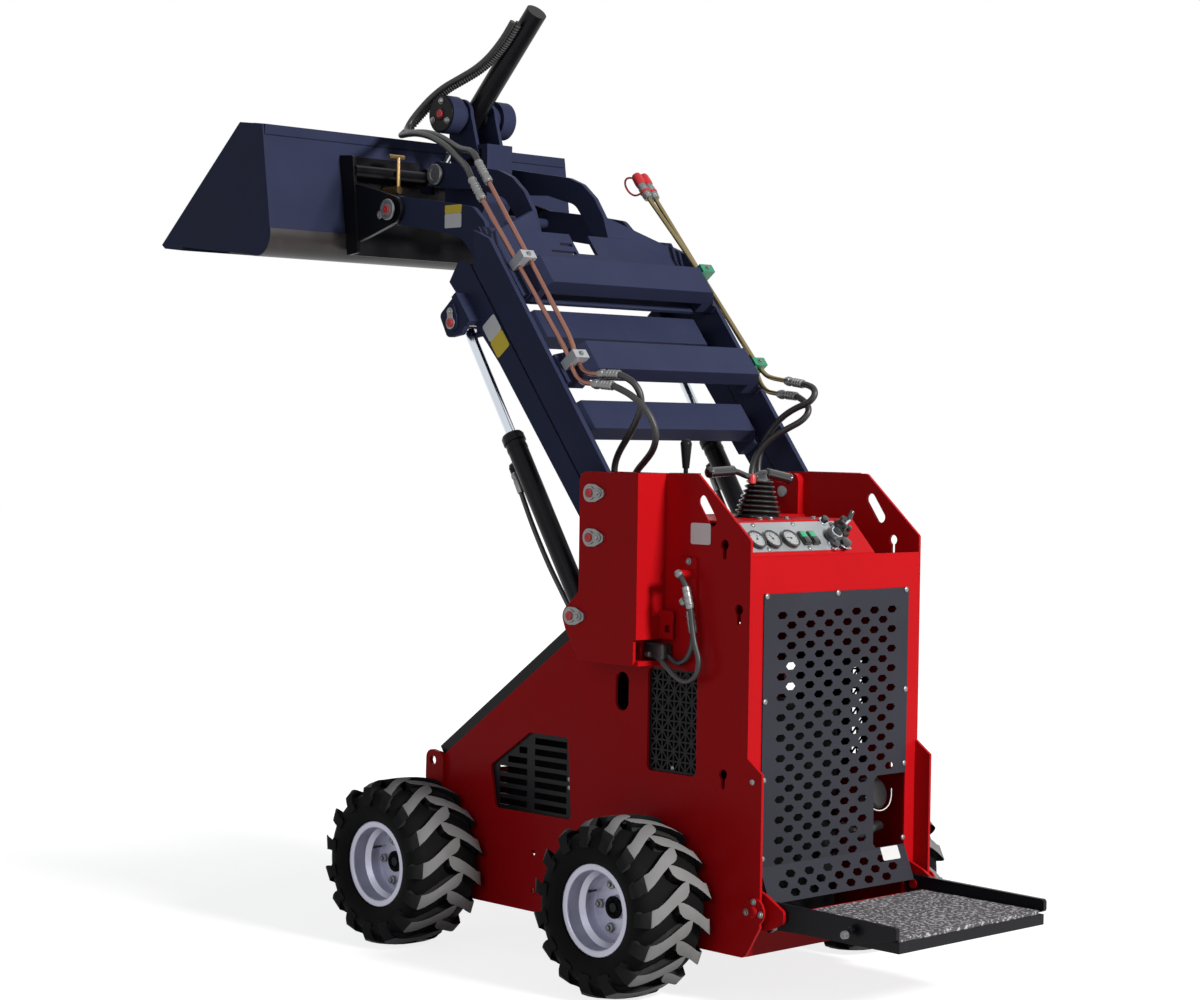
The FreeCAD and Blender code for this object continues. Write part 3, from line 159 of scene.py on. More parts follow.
RIGHT_FRONT = [
    (-0.266, -0.348, 1.510), (-0.304, -0.342, 1.496), (-0.326, -0.334, 1.471), (-0.314, -0.321, 1.444),
    (-0.274, -0.303, 1.421), (-0.232, -0.284, 1.396), (-0.198, -0.268, 1.356), (-0.184, -0.258, 1.312),
    (-0.192, -0.252, 1.270), (-0.214, -0.246, 1.236), (-0.242, -0.242, 1.212), (-0.264, -0.240, 1.180),
]
TILT_HOSE_MIDDLE = [
    (0.462, 0.055, 2.561), (0.492, 0.055, 2.528), (0.529, 0.057, 2.494), (0.569, 0.061, 2.463),
    (0.613, 0.069, 2.437), (0.664, 0.084, 2.414), (0.714, 0.099, 2.392), (0.758, 0.112, 2.362),
    (0.796, 0.124, 2.326), (0.820, 0.142, 2.290), (0.812, 0.172, 2.264), (0.768, 0.204, 2.254),
    (0.706, 0.230, 2.250), (0.640, 0.250, 2.244), (0.576, 0.266, 2.232), (0.516, 0.281, 2.214),
    (0.458, 0.294, 2.190),
]
ENGINE_HOSE = [
    (-0.66, -0.255, 0.385), (-0.675, -0.225, 0.392), (-0.68, -0.19, 0.38), (-0.665, -0.15, 0.372),
    (-0.64, -0.12, 0.40),
]
ENGINE_WIRE = [
    (-0.690, -0.150, 0.430), (-0.700, -0.172, 0.452), (-0.700, -0.168, 0.486), (-0.698, -0.150, 0.478),
    (-0.702, -0.176, 0.440), (-0.700, -0.225, 0.430), (-0.697, -0.262, 0.452), (-0.690, -0.268, 0.486),
]


# ------------------------------------------------ settings
def length_setting(name, description, default):
    return bpy.props.FloatProperty(name=name, description=description, default=default, unit="LENGTH",
                                   min=0.0)


def colour_setting(name, description, default):
    return bpy.props.FloatVectorProperty(name=name, description=description, default=default, size=3,
                                         subtype="COLOR", min=0.0, max=1.0)


class LoaderColours(bpy.types.PropertyGroup):
    """Paint colours a user may change."""
    body: colour_setting("Body red", "Paint of the body, towers and brackets", (0.40, 0.0042, 0.0068))
    arms: colour_setting("Arm graphite", "Paint of the arms, the link and the bucket", (0.028, 0.033, 0.070))
    grille: colour_setting("Grille grey", "Paint of the rear panel", (0.029, 0.029, 0.038))
    rim: colour_setting("Rim silver", "Paint of the wheel rims", (0.50, 0.50, 0.60))
    tread: colour_setting("Worn rubber", "Tops of the tyre lugs", (0.190, 0.190, 0.192))


class LoaderSizes(bpy.types.PropertyGroup):
    """Sizes a user may change."""
    lug_count: bpy.props.IntProperty(name="Lugs a side", description="Tread lugs on each half of a tyre",
                                     default=15, min=6, max=30)
    lug_width: length_setting("Lug width", "Width of a tread lug", 0.044)
    screw: length_setting("Screw head", "Radius of the panel screws", 0.0075)
    arm_hose: length_setting("Arm hose", "Diameter of the hoses on the arms", 0.018)
    small_hose: length_setting("Small hose", "Diameter of the lift and body hoses", 0.014)


# ------------------------------------------------ modelling helpers
def clear_selection():
    if bpy.context.object and bpy.context.object.mode != "OBJECT":
        bpy.ops.object.mode_set(mode="OBJECT")
    bpy.ops.object.select_all(action="DESELECT")


def pick(piece):
    clear_selection()
    piece.select_set(True)
    bpy.context.view_layer.objects.active = piece


def settle(piece, name=None):
    """Put a piece's place, turn and size into its mesh."""
    pick(piece)
    bpy.ops.object.transform_apply(location=True, rotation=True, scale=True)
    if name:
        piece.name = name
        piece.data.name = name
    return piece


def modify(piece, kind, **values):
    """Add a modifier and apply it."""
    pick(piece)
    modifier = piece.modifiers.new(kind.title(), kind)
    for key, value in values.items():
        setattr(modifier, key, value)
    bpy.ops.object.modifier_apply(modifier=modifier.name)


def round_edges(piece, width, segments=2):
    modify(piece, "BEVEL", width=width, segments=segments, limit_method="ANGLE", angle_limit=math.radians(35))


def turn_to(direction):
    return Vector(direction).to_track_quat("Z", "Y").to_euler()


def block(name, low, high, edge=0.001, segments=2):
    """Box between two corners with rounded edges."""
    clear_selection()
    low, high = Vector(low), Vector(high)
    bpy.ops.mesh.primitive_cube_add(size=1.0, location=(low + high) / 2, scale=high - low)
    piece = settle(bpy.context.object, name)
    round_edges(piece, edge, segments)
    return piece


def rod(name, start, end, radius, sides=24, edge=0.0):
    """Round or many-sided bar between two points."""
    clear_selection()
    start, end = Vector(start), Vector(end)
    run = end - start
    bpy.ops.mesh.primitive_cylinder_add(vertices=sides, radius=radius, depth=run.length,
                                        location=(start + end) / 2, rotation=turn_to(run))
    piece = settle(bpy.context.object, name)
    if edge:
        round_edges(piece, edge)
    return piece


def edit_whole(piece, step=None):
    """Run a step on a piece's whole mesh, then turn its faces outward."""
    pick(piece)
    bpy.ops.object.mode_set(mode="EDIT")
    bpy.ops.mesh.select_all(action="SELECT")
    if step:
        step()
        bpy.ops.mesh.select_all(action="SELECT")
    bpy.ops.mesh.normals_make_consistent(inside=False)
    bpy.ops.object.mode_set(mode="OBJECT")


def pull_out(offset):
    bpy.ops.mesh.extrude_region_move(TRANSFORM_OT_translate={"value": offset})


def spun(name, start, direction, profile, steps=32, ring=False):
    """Solid turned about a line; the profile lists (distance along, radius), and a ring stays open inside."""
    clear_selection()
    start, direction = Vector(start), Vector(direction).normalized()
    side = direction.orthogonal().normalized()
    points = list(profile) if ring else [(profile[0][0], 0.0)] + list(profile) + [(profile[-1][0], 0.0)]
    bpy.ops.mesh.primitive_circle_add(vertices=len(points), radius=0.01, location=start)
    piece = settle(bpy.context.object, name)
    for vertex, (along, radius) in zip(piece.data.vertices, points):
        vertex.co = start + direction * along + side * radius

    def turn():
        bpy.ops.mesh.spin(steps=steps, angle=2 * math.pi, center=start, axis=direction, use_auto_merge=True)
        bpy.ops.mesh.select_all(action="SELECT")
        bpy.ops.mesh.remove_doubles(threshold=0.00002)

    edit_whole(piece, turn)
    return piece


def joined(name, pieces):
    """Several meshes made one."""
    clear_selection()
    for piece in pieces:
        piece.select_set(True)
    bpy.context.view_layer.objects.active = pieces[0]
    if len(pieces) > 1:
        bpy.ops.object.join()
    piece = bpy.context.view_layer.objects.active
    piece.name = name
    piece.data.name = name
    return piece


def copies(name, pattern, places):
    """One mesh of many copies of a pattern, each moved by a matrix; the pattern itself is used up."""
    made = []
    for matrix in places:
        twin = bpy.data.objects.new(name, pattern.data.copy())
        bpy.context.collection.objects.link(twin)
        twin.data.transform(matrix)
        if matrix.determinant() < 0:
            twin.data.flip_normals()
        made.append(twin)
    bpy.data.objects.remove(pattern)
    return joined(name, made)


def facing(point, direction, spin=0.0):
    """Matrix that puts a pattern built up along Z at a point, pointing along a direction."""
    turn = Vector(direction).to_track_quat("Z", "Y").to_matrix().to_4x4()
    return Matrix.Translation(Vector(point)) @ turn @ Matrix.Rotation(spin, 4, "Z")


def bolt(name, radius):
    """Hexagon head on its washer, built up along Z."""
    washer = rod(name, (0, 0, 0), (0, 0, radius * 0.22), radius * 1.35, 20, radius * 0.08)
    head = rod(name, (0, 0, radius * 0.2), (0, 0, radius * 0.95), radius, 6, radius * 0.12)
    return joined(name, [washer, head])


def screw(name, radius):
    """Domed screw head with a cross recess, built up along Z."""
    profile = [(0, radius), (radius * 0.2, radius), (radius * 0.42, radius * 0.8),
               (radius * 0.52, radius * 0.45)]
    head = spun(name, (0, 0, 0), Z_AXIS, profile, 20)
    long, thin, low, high = radius * 0.5, radius * 0.08, radius * 0.44, radius * 0.56
    slot = block(name, (-long, -thin, low), (long, thin, high), radius * 0.02, 1)
    cross = block(name, (-thin, -long, low), (thin, long, high), radius * 0.02, 1)
    return joined(name, [head, slot, cross])


def dress(piece, body, finish, angle=35.0):
    """Give a piece its finish, smooth shading and the body it rides on."""
    piece.data.materials.clear()
    piece.data.materials.append(finish_named(finish))
    pick(piece)
    bpy.ops.object.shade_smooth_by_angle(angle=math.radians(angle))
    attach(piece, body)
    return piece


def turned(name, body, finish, start, direction, profile, steps=32):
    """Solid turned about a line, with its finish, riding on a body."""
    return dress(spun(name, start, direction, profile, steps), body, finish)


def around(centre, radius, degrees):
    """Points on a circle in the plane of X and Z."""
    return [centre + Vector((math.cos(angle), 0, math.sin(angle))) * radius
            for angle in map(math.radians, degrees)]


def smooth_curve(name, route, steps):
    """Smooth curve that follows a route from its first point to its last."""
    curve = bpy.data.curves.new(name, "CURVE")
    curve.dimensions = "3D"
    curve.resolution_u = steps
    spline = curve.splines.new("NURBS")
    spline.points.add(len(route) - 1)
    for point, here in zip(spline.points, route):
        point.co = (*here, 1.0)
    spline.order_u = 3
    spline.use_endpoint_u = True
    return curve


def flow(name, route, diameter, steps=10):
    """Smooth hose along a route, made a mesh with lengthwise UVs."""
    clear_selection()
    curve = smooth_curve(name, route, steps)
    curve.bevel_depth = diameter / 2
    curve.bevel_resolution = 4
    curve.use_fill_caps = True
    piece = bpy.data.objects.new(name, curve)
    bpy.context.collection.objects.link(piece)
    pick(piece)
    bpy.ops.object.convert(target="MESH")
    piece = bpy.context.object
    piece.data.name = name
    return piece


def rings_along(name, route, spacing, radius, thickness):
    """Ring at every spacing along a smooth route, such as a spiral guard's turns."""
    line = smooth_points(route)
    profile = [(thickness * along, radius - thickness * inward)
               for along, inward in ((-1, 1), (-0.6, 0.3), (0, 0), (0.6, 0.3), (1, 1))]
    pattern = spun(name, (0, 0, 0), Z_AXIS, profile, 14)
    places = []
    travelled = 0.0
    for before, here in zip(line, line[1:]):
        step = (here - before).length
        travelled += step
        if travelled >= spacing:
            travelled = 0.0
            places.append(facing(here, here - before))
    return copies(name, pattern, places)


def smooth_points(route):
    """Points read from the route's own smooth curve."""
    curve = smooth_curve("line", route, 24)
    guide = bpy.data.objects.new("line", curve)
    line = bpy.data.meshes.new_from_object(guide)
    points = [vertex.co.copy() for vertex in line.vertices]
    bpy.data.objects.remove(guide)
    bpy.data.curves.remove(curve)
    bpy.data.meshes.remove(line)
    return points


def mirror_matrix():
    return Matrix.Scale(-1, 4, Y_AXIS)


# ------------------------------------------------ finishes
def link(tree, source, target):
    tree.links.new(source, target)


def new_node(tree, kind, operation=None, **values):
    """Shader node with values for its inputs; an underscore stands for a space in an input's name."""
    node = tree.nodes.new("ShaderNode" + kind)
    if operation:
        node.operation = operation
    for key, value in values.items():
        node.inputs[key.replace("_", " ")].default_value = value
    return node


def new_group(name, inputs, outputs):
    """Node group with a vector and some numbers coming in; gives its tree, entry and exit."""
    tree = bpy.data.node_groups.new(name, "ShaderNodeTree")
    tree.interface.new_socket(name="Vector", in_out="INPUT", socket_type="NodeSocketVector")
    for key, value in inputs.items():
        entry = tree.interface.new_socket(name=key, in_out="INPUT", socket_type="NodeSocketFloat")
        entry.default_value = value
    for key in outputs:
        tree.interface.new_socket(name=key, in_out="OUTPUT", socket_type="NodeSocketFloat")
    return tree, tree.nodes.new("NodeGroupInput"), tree.nodes.new("NodeGroupOutput")


def grain_group():
    """Fine grain for bump, with a slow change of tone over the surface."""
    numbers = {"Grain Scale": 400.0, "Tone Scale": 6.0}
    tree, entry, leave = new_group("surface_grain", numbers, ("Height", "Tone"))
    for detail, scale, result in ((3.0, "Grain Scale", "Height"), (4.0, "Tone Scale", "Tone")):
        noise = new_node(tree, "TexNoise", Detail=detail)
        link(tree, entry.outputs["Vector"], noise.inputs["Vector"])
        link(tree, entry.outputs[scale], noise.inputs["Scale"])
        link(tree, noise.outputs["Fac"], leave.inputs[result])


def wear_group():
    """Patches of dust and thin scratches as a mask from 0 to 1."""
    tree, entry, leave = new_group("dust_and_scratches", {"Scale": 9.0, "Amount": 0.3}, ("Mask",))
    cloud = new_node(tree, "TexNoise", Detail=8.0, Roughness=0.65)
    patches = new_node(tree, "MapRange", From_Min=0.55, From_Max=0.85)
    stretch = new_node(tree, "Mapping", Scale=(90.0, 8.0, 60.0), Rotation=(0.4, 0.7, 0.2))
    scratch = new_node(tree, "TexNoise", Scale=3.0, Detail=6.0)
    thin = new_node(tree, "MapRange", From_Min=0.70, From_Max=0.78)
    most, scaled = new_node(tree, "Math", "MAXIMUM"), new_node(tree, "Math", "MULTIPLY")
    for source, target in ((entry.outputs["Vector"], cloud.inputs["Vector"]),
                           (entry.outputs["Scale"], cloud.inputs["Scale"]),
                           (entry.outputs["Vector"], stretch.inputs["Vector"]),
                           (stretch.outputs["Vector"], scratch.inputs["Vector"]),
                           (cloud.outputs["Fac"], patches.inputs["Value"]),
                           (scratch.outputs["Fac"], thin.inputs["Value"]),
                           (patches.outputs["Result"], most.inputs[0]),
                           (thin.outputs["Result"], most.inputs[1]),
                           (most.outputs["Value"], scaled.inputs[0]),
                           (entry.outputs["Amount"], scaled.inputs[1]),
                           (scaled.outputs["Value"], leave.inputs["Mask"])):
        link(tree, source, target)


def grouped(tree, name):
    node = tree.nodes.new("ShaderNodeGroup")
    node.node_tree = bpy.data.node_groups[name]
    return node


def blend_colour(tree, factor, low, high):
    """Mix two colours, either of which may be a socket."""
    node = tree.nodes.new("ShaderNodeMix")
    node.data_type = "RGBA"
    link(tree, factor, node.inputs["Factor"])
    for value, key in ((low, 6), (high, 7)):
        if isinstance(value, bpy.types.NodeSocket):
            link(tree, value, node.inputs[key])
        else:
            node.inputs[key].default_value = (*value, 1.0)
    return node.outputs[2]


def shade(colour, share):
    return tuple(min(1.0, c * share) for c in colour)


FINISHES = {}                          # this script's own finishes, kept apart from the frame's materials


def finish_named(name):
    return FINISHES[name]


def painted(name, colour, rough=0.4, metallic=0.0, coat=0.0, specular=0.5, grain=400.0, bump=0.08,
            dust=0.0, dust_colour=(0.16, 0.15, 0.14), tone=0.14, edge=0.0015, height=0.0006):
    """Finish with grain, a slow change of tone, dust and softened edges; gives its tree and shader."""
    made = bpy.data.materials.new(name)
    made.use_nodes = True
    FINISHES[name] = made
    tree = made.node_tree
    shader = tree.nodes["Principled BSDF"]
    where = new_node(tree, "TexCoord").outputs["Object"]
    texture = grouped(tree, "surface_grain")
    texture.inputs["Grain Scale"].default_value = grain
    link(tree, where, texture.inputs["Vector"])
    result = blend_colour(tree, texture.outputs["Tone"], shade(colour, 1 - tone), shade(colour, 1 + tone))
    if dust:
        worn = grouped(tree, "dust_and_scratches")
        worn.inputs["Amount"].default_value = dust
        link(tree, where, worn.inputs["Vector"])
        result = blend_colour(tree, worn.outputs["Mask"], result, dust_colour)
    link(tree, result, shader.inputs["Base Color"])
    gloss = new_node(tree, "MapRange", To_Min=max(0.02, rough - 0.08), To_Max=min(1.0, rough + 0.12))
    link(tree, texture.outputs["Tone"], gloss.inputs["Value"])
    link(tree, gloss.outputs["Result"], shader.inputs["Roughness"])
    relief = new_node(tree, "Bump", Strength=bump, Distance=height)
    link(tree, texture.outputs["Height"], relief.inputs["Height"])
    if edge:
        soft = new_node(tree, "Bevel", Radius=edge)
        soft.samples = 4
        link(tree, soft.outputs["Normal"], relief.inputs["Normal"])
    link(tree, relief.outputs["Normal"], shader.inputs["Normal"])
    for key, value in (("Metallic", metallic), ("Coat Weight", coat), ("Coat Roughness", 0.12),
                       ("Specular IOR Level", specular)):
        shader.inputs[key].default_value = value
    return tree, shader


def hose_cover(name, colour, ribs, strength):
    """Rubber with fine rings along a hose's own length."""
    tree, shader = painted(name, colour, rough=0.42, grain=900.0, bump=0.15, dust=0.12, edge=0.0)
    wave = new_node(tree, "TexWave", Scale=ribs)
    relief = new_node(tree, "Bump", Strength=strength, Distance=0.0008)
    first = shader.inputs["Normal"].links[0].from_socket
    link(tree, new_node(tree, "UVMap").outputs["UV"], wave.inputs["Vector"])
    link(tree, wave.outputs["Fac"], relief.inputs["Height"])
    link(tree, first, relief.inputs["Normal"])
    link(tree, relief.outputs["Normal"], shader.inputs["Normal"])


def over_paint(tree, shader, mask, colour):
    """Lay a second colour over a finish where the mask is 1."""
    ground = shader.inputs["Base Color"].links[0].from_socket
    link(tree, blend_colour(tree, mask, ground, colour), shader.inputs["Base Color"])


def speckled_mat():
    """Grit paint: dark grey with fine pale specks."""
    tree, shader = painted("grip_mat", (0.10, 0.10, 0.104), rough=0.92, specular=0.1, grain=330.0, bump=1.0,
                           tone=0.4, dust=0.3, dust_colour=(0.20, 0.20, 0.21), edge=0.0, height=0.004)
    speck = new_node(tree, "TexNoise", Scale=110.0, Detail=2.0)
    spread = new_node(tree, "MapRange", From_Min=0.52, From_Max=0.62)
    link(tree, new_node(tree, "TexCoord").outputs["Object"], speck.inputs["Vector"])
    link(tree, speck.outputs["Fac"], spread.inputs["Value"])
    over_paint(tree, shader, spread.outputs["Result"], (0.55, 0.53, 0.56))


def two_clamps():
    """Bare metal on the left pipes' clamps and green plastic on the right ones."""
    tree, shader = painted("clamp_finish", (0.30, 0.315, 0.34), rough=0.35, grain=700.0, bump=0.15, dust=0.1)
    apart, side = new_node(tree, "SeparateXYZ"), new_node(tree, "Math", "LESS_THAN")
    side.inputs[1].default_value = 0.0
    link(tree, new_node(tree, "TexCoord").outputs["Object"], apart.inputs["Vector"])
    link(tree, apart.outputs["Y"], side.inputs[0])
    over_paint(tree, shader, side.outputs["Value"], (0.01, 0.20, 0.10))


def make_finishes():
    grain_group()
    wear_group()
    colours = bpy.context.scene.loader_colours
    painted("body_red", tuple(colours.body), rough=0.34, specular=0.06, grain=260.0, bump=0.05, tone=0.07,
            dust=0.04, dust_colour=(0.34, 0.03, 0.035), edge=0.0022)
    painted("arm_graphite", tuple(colours.arms), rough=0.42, specular=0.03, grain=300.0, bump=0.06,
            tone=0.18, dust=0.08, dust_colour=(0.075, 0.08, 0.11), edge=0.003)
    painted("black_steel", (0.006, 0.006, 0.008), rough=0.30, specular=0.12, grain=350.0, bump=0.08,
            dust=0.05, edge=0.002)
    painted("grille_grey", tuple(colours.grille), rough=0.42, specular=0.06, grain=900.0, bump=0.2, dust=0.06,
            edge=0.0008)
    painted("tyre_rubber", (0.006, 0.006, 0.0063), rough=0.70, specular=0.05, grain=500.0, bump=0.35,
            dust=0.14, dust_colour=(0.045, 0.044, 0.042), edge=0.0)
    painted("tread_worn", tuple(colours.tread), rough=0.72, specular=0.02, grain=420.0, bump=0.5, dust=0.5,
            dust_colour=(0.09, 0.09, 0.09), tone=0.35, edge=0.0)
    painted("lug_flank", (0.026, 0.026, 0.027), rough=0.75, specular=0.01, grain=420.0, bump=0.5, dust=0.5,
            dust_colour=(0.07, 0.07, 0.07), tone=0.3, edge=0.0)
    painted("rim_silver", tuple(colours.rim), rough=0.34, metallic=0.55, coat=0.1, grain=800.0, bump=0.1,
            dust=0.10, dust_colour=(0.20, 0.19, 0.22))
    painted("zinc", (0.21, 0.21, 0.212), rough=0.38, metallic=0.8, grain=900.0, bump=0.15, dust=0.12,
            edge=0.0006)
    painted("plate_metal", (0.30, 0.315, 0.33), rough=0.45, metallic=0.4, grain=1200.0, bump=0.3, tone=0.25,
            dust=0.15, edge=0.0004)
    painted("chrome_rod", (0.62, 0.66, 0.72), rough=0.12, metallic=1.0, grain=1500.0, bump=0.03, tone=0.05,
            edge=0.0)
    painted("black_plastic", (0.011, 0.011, 0.012), rough=0.40, specular=0.5, grain=700.0, bump=0.2,
            dust=0.08, edge=0.001)
    painted("engine_iron", (0.009, 0.009, 0.010), rough=0.6, specular=0.02, grain=220.0, bump=0.5, dust=0.3)
    speckled_mat()
    painted("copper_pipe", (0.27, 0.125, 0.095), rough=0.28, metallic=0.8, grain=900.0, bump=0.08,
            dust=0.1, edge=0.0)
    painted("gold_zinc", (0.25, 0.20, 0.095), rough=0.30, metallic=0.8, grain=900.0, bump=0.08, dust=0.12,
            edge=0.0)
    painted("brass", (0.34, 0.22, 0.09), rough=0.30, metallic=0.8, grain=700.0, bump=0.1, edge=0.0)
    painted("cap_red", (0.48, 0.012, 0.016), rough=0.38, grain=600.0, bump=0.1, dust=0.08, edge=0.0)
    painted("label_white", (0.62, 0.62, 0.62), rough=0.5, grain=1200.0, bump=0.08, dust=0.15, edge=0.0)
    painted("label_yellow", (0.66, 0.50, 0.02), rough=0.5, grain=1200.0, bump=0.08, dust=0.15, edge=0.0)
    painted("switch_green", (0.005, 0.28, 0.12), rough=0.25, coat=0.4, grain=900.0, bump=0.05, edge=0.0)
    painted("gauge_face", (0.30, 0.31, 0.32), rough=0.22, coat=0.6, grain=1200.0, bump=0.04, tone=0.3,
            edge=0.0)
    painted("heel_brown", (0.028, 0.022, 0.022), rough=0.38, grain=300.0, bump=0.2, dust=0.4,
            dust_colour=(0.10, 0.075, 0.06), edge=0.001)
    painted("gloss_black", (0.009, 0.009, 0.010), rough=0.20, coat=0.4, grain=600.0, bump=0.06, dust=0.06,
            edge=0.0)
    painted("zinc_dark", (0.17, 0.17, 0.175), metallic=0.8, rough=0.38, grain=700.0, bump=0.2, dust=0.15,
            edge=0.0)
    hose_cover("hose_rubber", (0.011, 0.011, 0.012), 60.0, 0.12)
    hose_cover("guard_plastic", (0.030, 0.028, 0.030), 60.0, 0.3)
    two_clamps()


FINISH_BY_NODE = {"pipe_clamps": "clamp_finish", "gauge_plate": "plate_metal", "platform_hinges": "body_red",
                  "lock_levers": "brass"}


def dress_frame():
    """Give every carried-over node the finish of its slot."""
    for entry in frame["record"]["subparts"]:
        node = NODES[entry["node"]]
        finish = finish_named(FINISH_BY_NODE.get(entry["node"], entry["material_slot"]))
        if not node.material_slots:
            node.data.materials.append(finish)
        for place_for in node.material_slots:
            place_for.material = finish


# ------------------------------------------------ wheels
CARCASS = [(-0.0905, 0.1022), (-0.0905, 0.1175), (-0.098, 0.1185), (-0.105, 0.130), (-0.109, 0.150),
           (-0.108, 0.172), (-0.100, 0.187), (-0.080, 0.196), (-0.045, 0.1995), (0.0, 0.2005),
           (0.045, 0.1995), (0.080, 0.196), (0.100, 0.187), (0.108, 0.172), (0.109, 0.150),
           (0.105, 0.130), (0.098, 0.1185), (0.0905, 0.1175), (0.0905, 0.1022)]
# a lug's sections from its inner end to the sidewall: across, sweep, share of the width, top and foot radius
LUG_SECTIONS = [(-0.021, 0.000, 0.42, 0.2245, 0.194), (-0.018, 0.000, 0.72, 0.2252, 0.194),
                (-0.010, 0.001, 0.94, 0.2255, 0.194), (0.002, 0.004, 1.00, 0.2255, 0.194),
                (0.020, 0.012, 1.00, 0.2253, 0.194), (0.040, 0.023, 1.00, 0.2245, 0.194),
                (0.060, 0.036, 1.02, 0.2225, 0.193), (0.078, 0.048, 1.05, 0.2190, 0.190),
                (0.093, 0.057, 1.06, 0.2140, 0.184), (0.1015, 0.061, 1.04, 0.2090, 0.180),
                (0.1085, 0.064, 0.98, 0.1950, 0.174), (0.1140, 0.066, 0.92, 0.1780, 0.166),
                (0.1125, 0.067, 0.84, 0.1620, 0.158)]


def make_lug():
    """One tread lug for the tyre's outer half, at the top of a wheel whose axle is Y at the origin."""
    sizes = bpy.context.scene.loader_sizes
    clear_selection()
    bpy.ops.mesh.primitive_plane_add(size=0.01)
    lug = settle(bpy.context.object, "lug")
    for number, (across, sweep, share, top, foot) in enumerate(LUG_SECTIONS):
        half = sizes.lug_width / 2 * share
        section = []
        for side, radius in ((-1, foot), (1, foot), (1, top), (-1, top)):
            flare = 1.0 if radius == top else 1.25
            angle = (-sweep + side * half * flare) / TREAD_RADIUS
            slant = side * half * (0.42 if 0 < number < 9 else 0.1)
            section.append((radius * math.sin(angle), across - slant, radius * math.cos(angle)))
        if number:
            pick(lug)
            bpy.ops.object.mode_set(mode="EDIT")
            pull_out((0, 0.001, 0))
            bpy.ops.object.mode_set(mode="OBJECT")
            corners = [vertex.index for vertex in lug.data.vertices if vertex.select]
        else:
            corners = [0, 1, 3, 2]
        for corner, here in zip(corners, section):
            lug.data.vertices[corner].co = here
    edit_whole(lug)
    round_edges(lug, 0.0028)
    return lug


def wear_lugs(lugs):
    """Worn finish on the faces that touch the ground, and dusty flanks."""
    for finish in ("lug_flank", "tread_worn"):
        lugs.data.materials.append(finish_named(finish))
    for face in lugs.data.polygons:
        away = Vector((face.center.x, 0.0, face.center.z))
        if away.length > WORN_RADIUS and face.normal.dot(away.normalized()) > 0.8:
            face.material_index = 1


def make_tyre(name, axle):
    sizes = bpy.context.scene.loader_sizes
    carcass = spun("carcass", (0, 0, 0), Y_AXIS, CARCASS, 96, True)
    lug = make_lug()
    half_pitch = math.pi / sizes.lug_count
    places = []
    for number in range(sizes.lug_count):
        turn = Matrix.Rotation(2 * half_pitch * number, 4, "Y")
        places.append(turn)
        places.append(turn @ Matrix.Rotation(half_pitch, 4, "Y") @ mirror_matrix())
    lugs = copies("lugs", lug, places)
    wear_lugs(lugs)
    carcass.data.materials.append(finish_named("tyre_rubber"))
    tyre = joined(name, [carcass, lugs])
    tyre.location = axle
    settle(tyre)
    pick(tyre)
    bpy.ops.object.shade_smooth_by_angle(angle=math.radians(40))
    return tyre


class LOADER_OT_tyres(bpy.types.Operator):
    """Add the four tyres with staggered lugs and lighter worn tops"""
    bl_idname = "loader.tyres"
    bl_label = "Tyres"

    def execute(self, context):
        for wheel in WHEELS:
            tyre = make_tyre("tread_" + wheel, Vector(JOINTS["wheel_" + wheel]["pos_m"]))
            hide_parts("tyre_" + wheel)
            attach(tyre, "wheel_" + wheel)
        return {"FINISHED"}


def lug_nuts(axle, outward):
    """Five wheel nuts on studs round the hub."""
    seat = axle + Y_AXIS * outward * 0.0115
    nut = rod("nut", (0, 0, -0.001), (0, 0, 0.013), 0.0125, 6, 0.0012)
    stud = rod("stud", (0, 0, 0.01), (0, 0, 0.020), 0.0058, 16, 0.0008)
    washer = rod("washer", (0, 0, -0.001), (0, 0, 0.0025), 0.0155, 24, 0.0005)
    pattern = joined("nut", [washer, nut, stud])
    places = []
    for number in range(NUT_COUNT):
        angle = math.radians(107 + 360 / NUT_COUNT * number)
        offset = Vector((-math.cos(angle) * outward, 0, math.sin(angle))) * NUT_CIRCLE
        places.append(facing(seat + offset, Y_AXIS * outward, number * 0.7))
    return copies("wheel_nuts", pattern, places)


def hub_bolts(axle, outward):
    """Dark cap with a ring of small bolts in the middle of the wheel."""
    up = Y_AXIS * outward
    face = axle + up * 0.025
    profile = [(0, 0.0285), (0.004, 0.0285), (0.006, 0.026), (0.006, 0.0115), (0.003, 0.0095)]
    cap = spun("hub_cap", face, up, profile, 40)
    spots = around(face, 0.0195, range(15, 375, 60))
    bolts = copies("hub_bolts", bolt("small_bolt", 0.0034),
                   [facing(spot + up * 0.006, up, number) for number, spot in enumerate(spots)])
    return joined("hub", [cap, bolts])


def valve(axle, outward):
    """Tyre valve standing out of the rim disc."""
    start = axle + Vector((0.082 * outward, outward * 0.008, 0.030))
    stem = rod("valve_stem", start, start + Y_AXIS * outward * 0.026, 0.0038, 14, 0.0008)
    out = Y_AXIS * outward
    cap = rod("valve_cap", start + out * 0.018, start + out * 0.032, 0.0048, 14, 0.001)
    return joined("valve", [stem, cap])


class LOADER_OT_wheel_hardware(bpy.types.Operator):
    """Add wheel nuts, hub caps and valves to the rims"""
    bl_idname = "loader.wheel_hardware"
    bl_label = "Wheel nuts and hubs"

    def execute(self, context):
        for wheel in WHEELS:
            axle = Vector(JOINTS["wheel_" + wheel]["pos_m"])
            outward = 1 if axle.y > 0 else -1
            for make, start, finish in ((lug_nuts, "wheel_nuts_", "zinc"), (hub_bolts, "hub_", "engine_iron"),
                                        (valve, "valve_", "black_plastic")):
                piece = make(axle, outward)
                piece.name = start + wheel
                dress(piece, "wheel_" + wheel, finish)
        return {"FINISHED"}


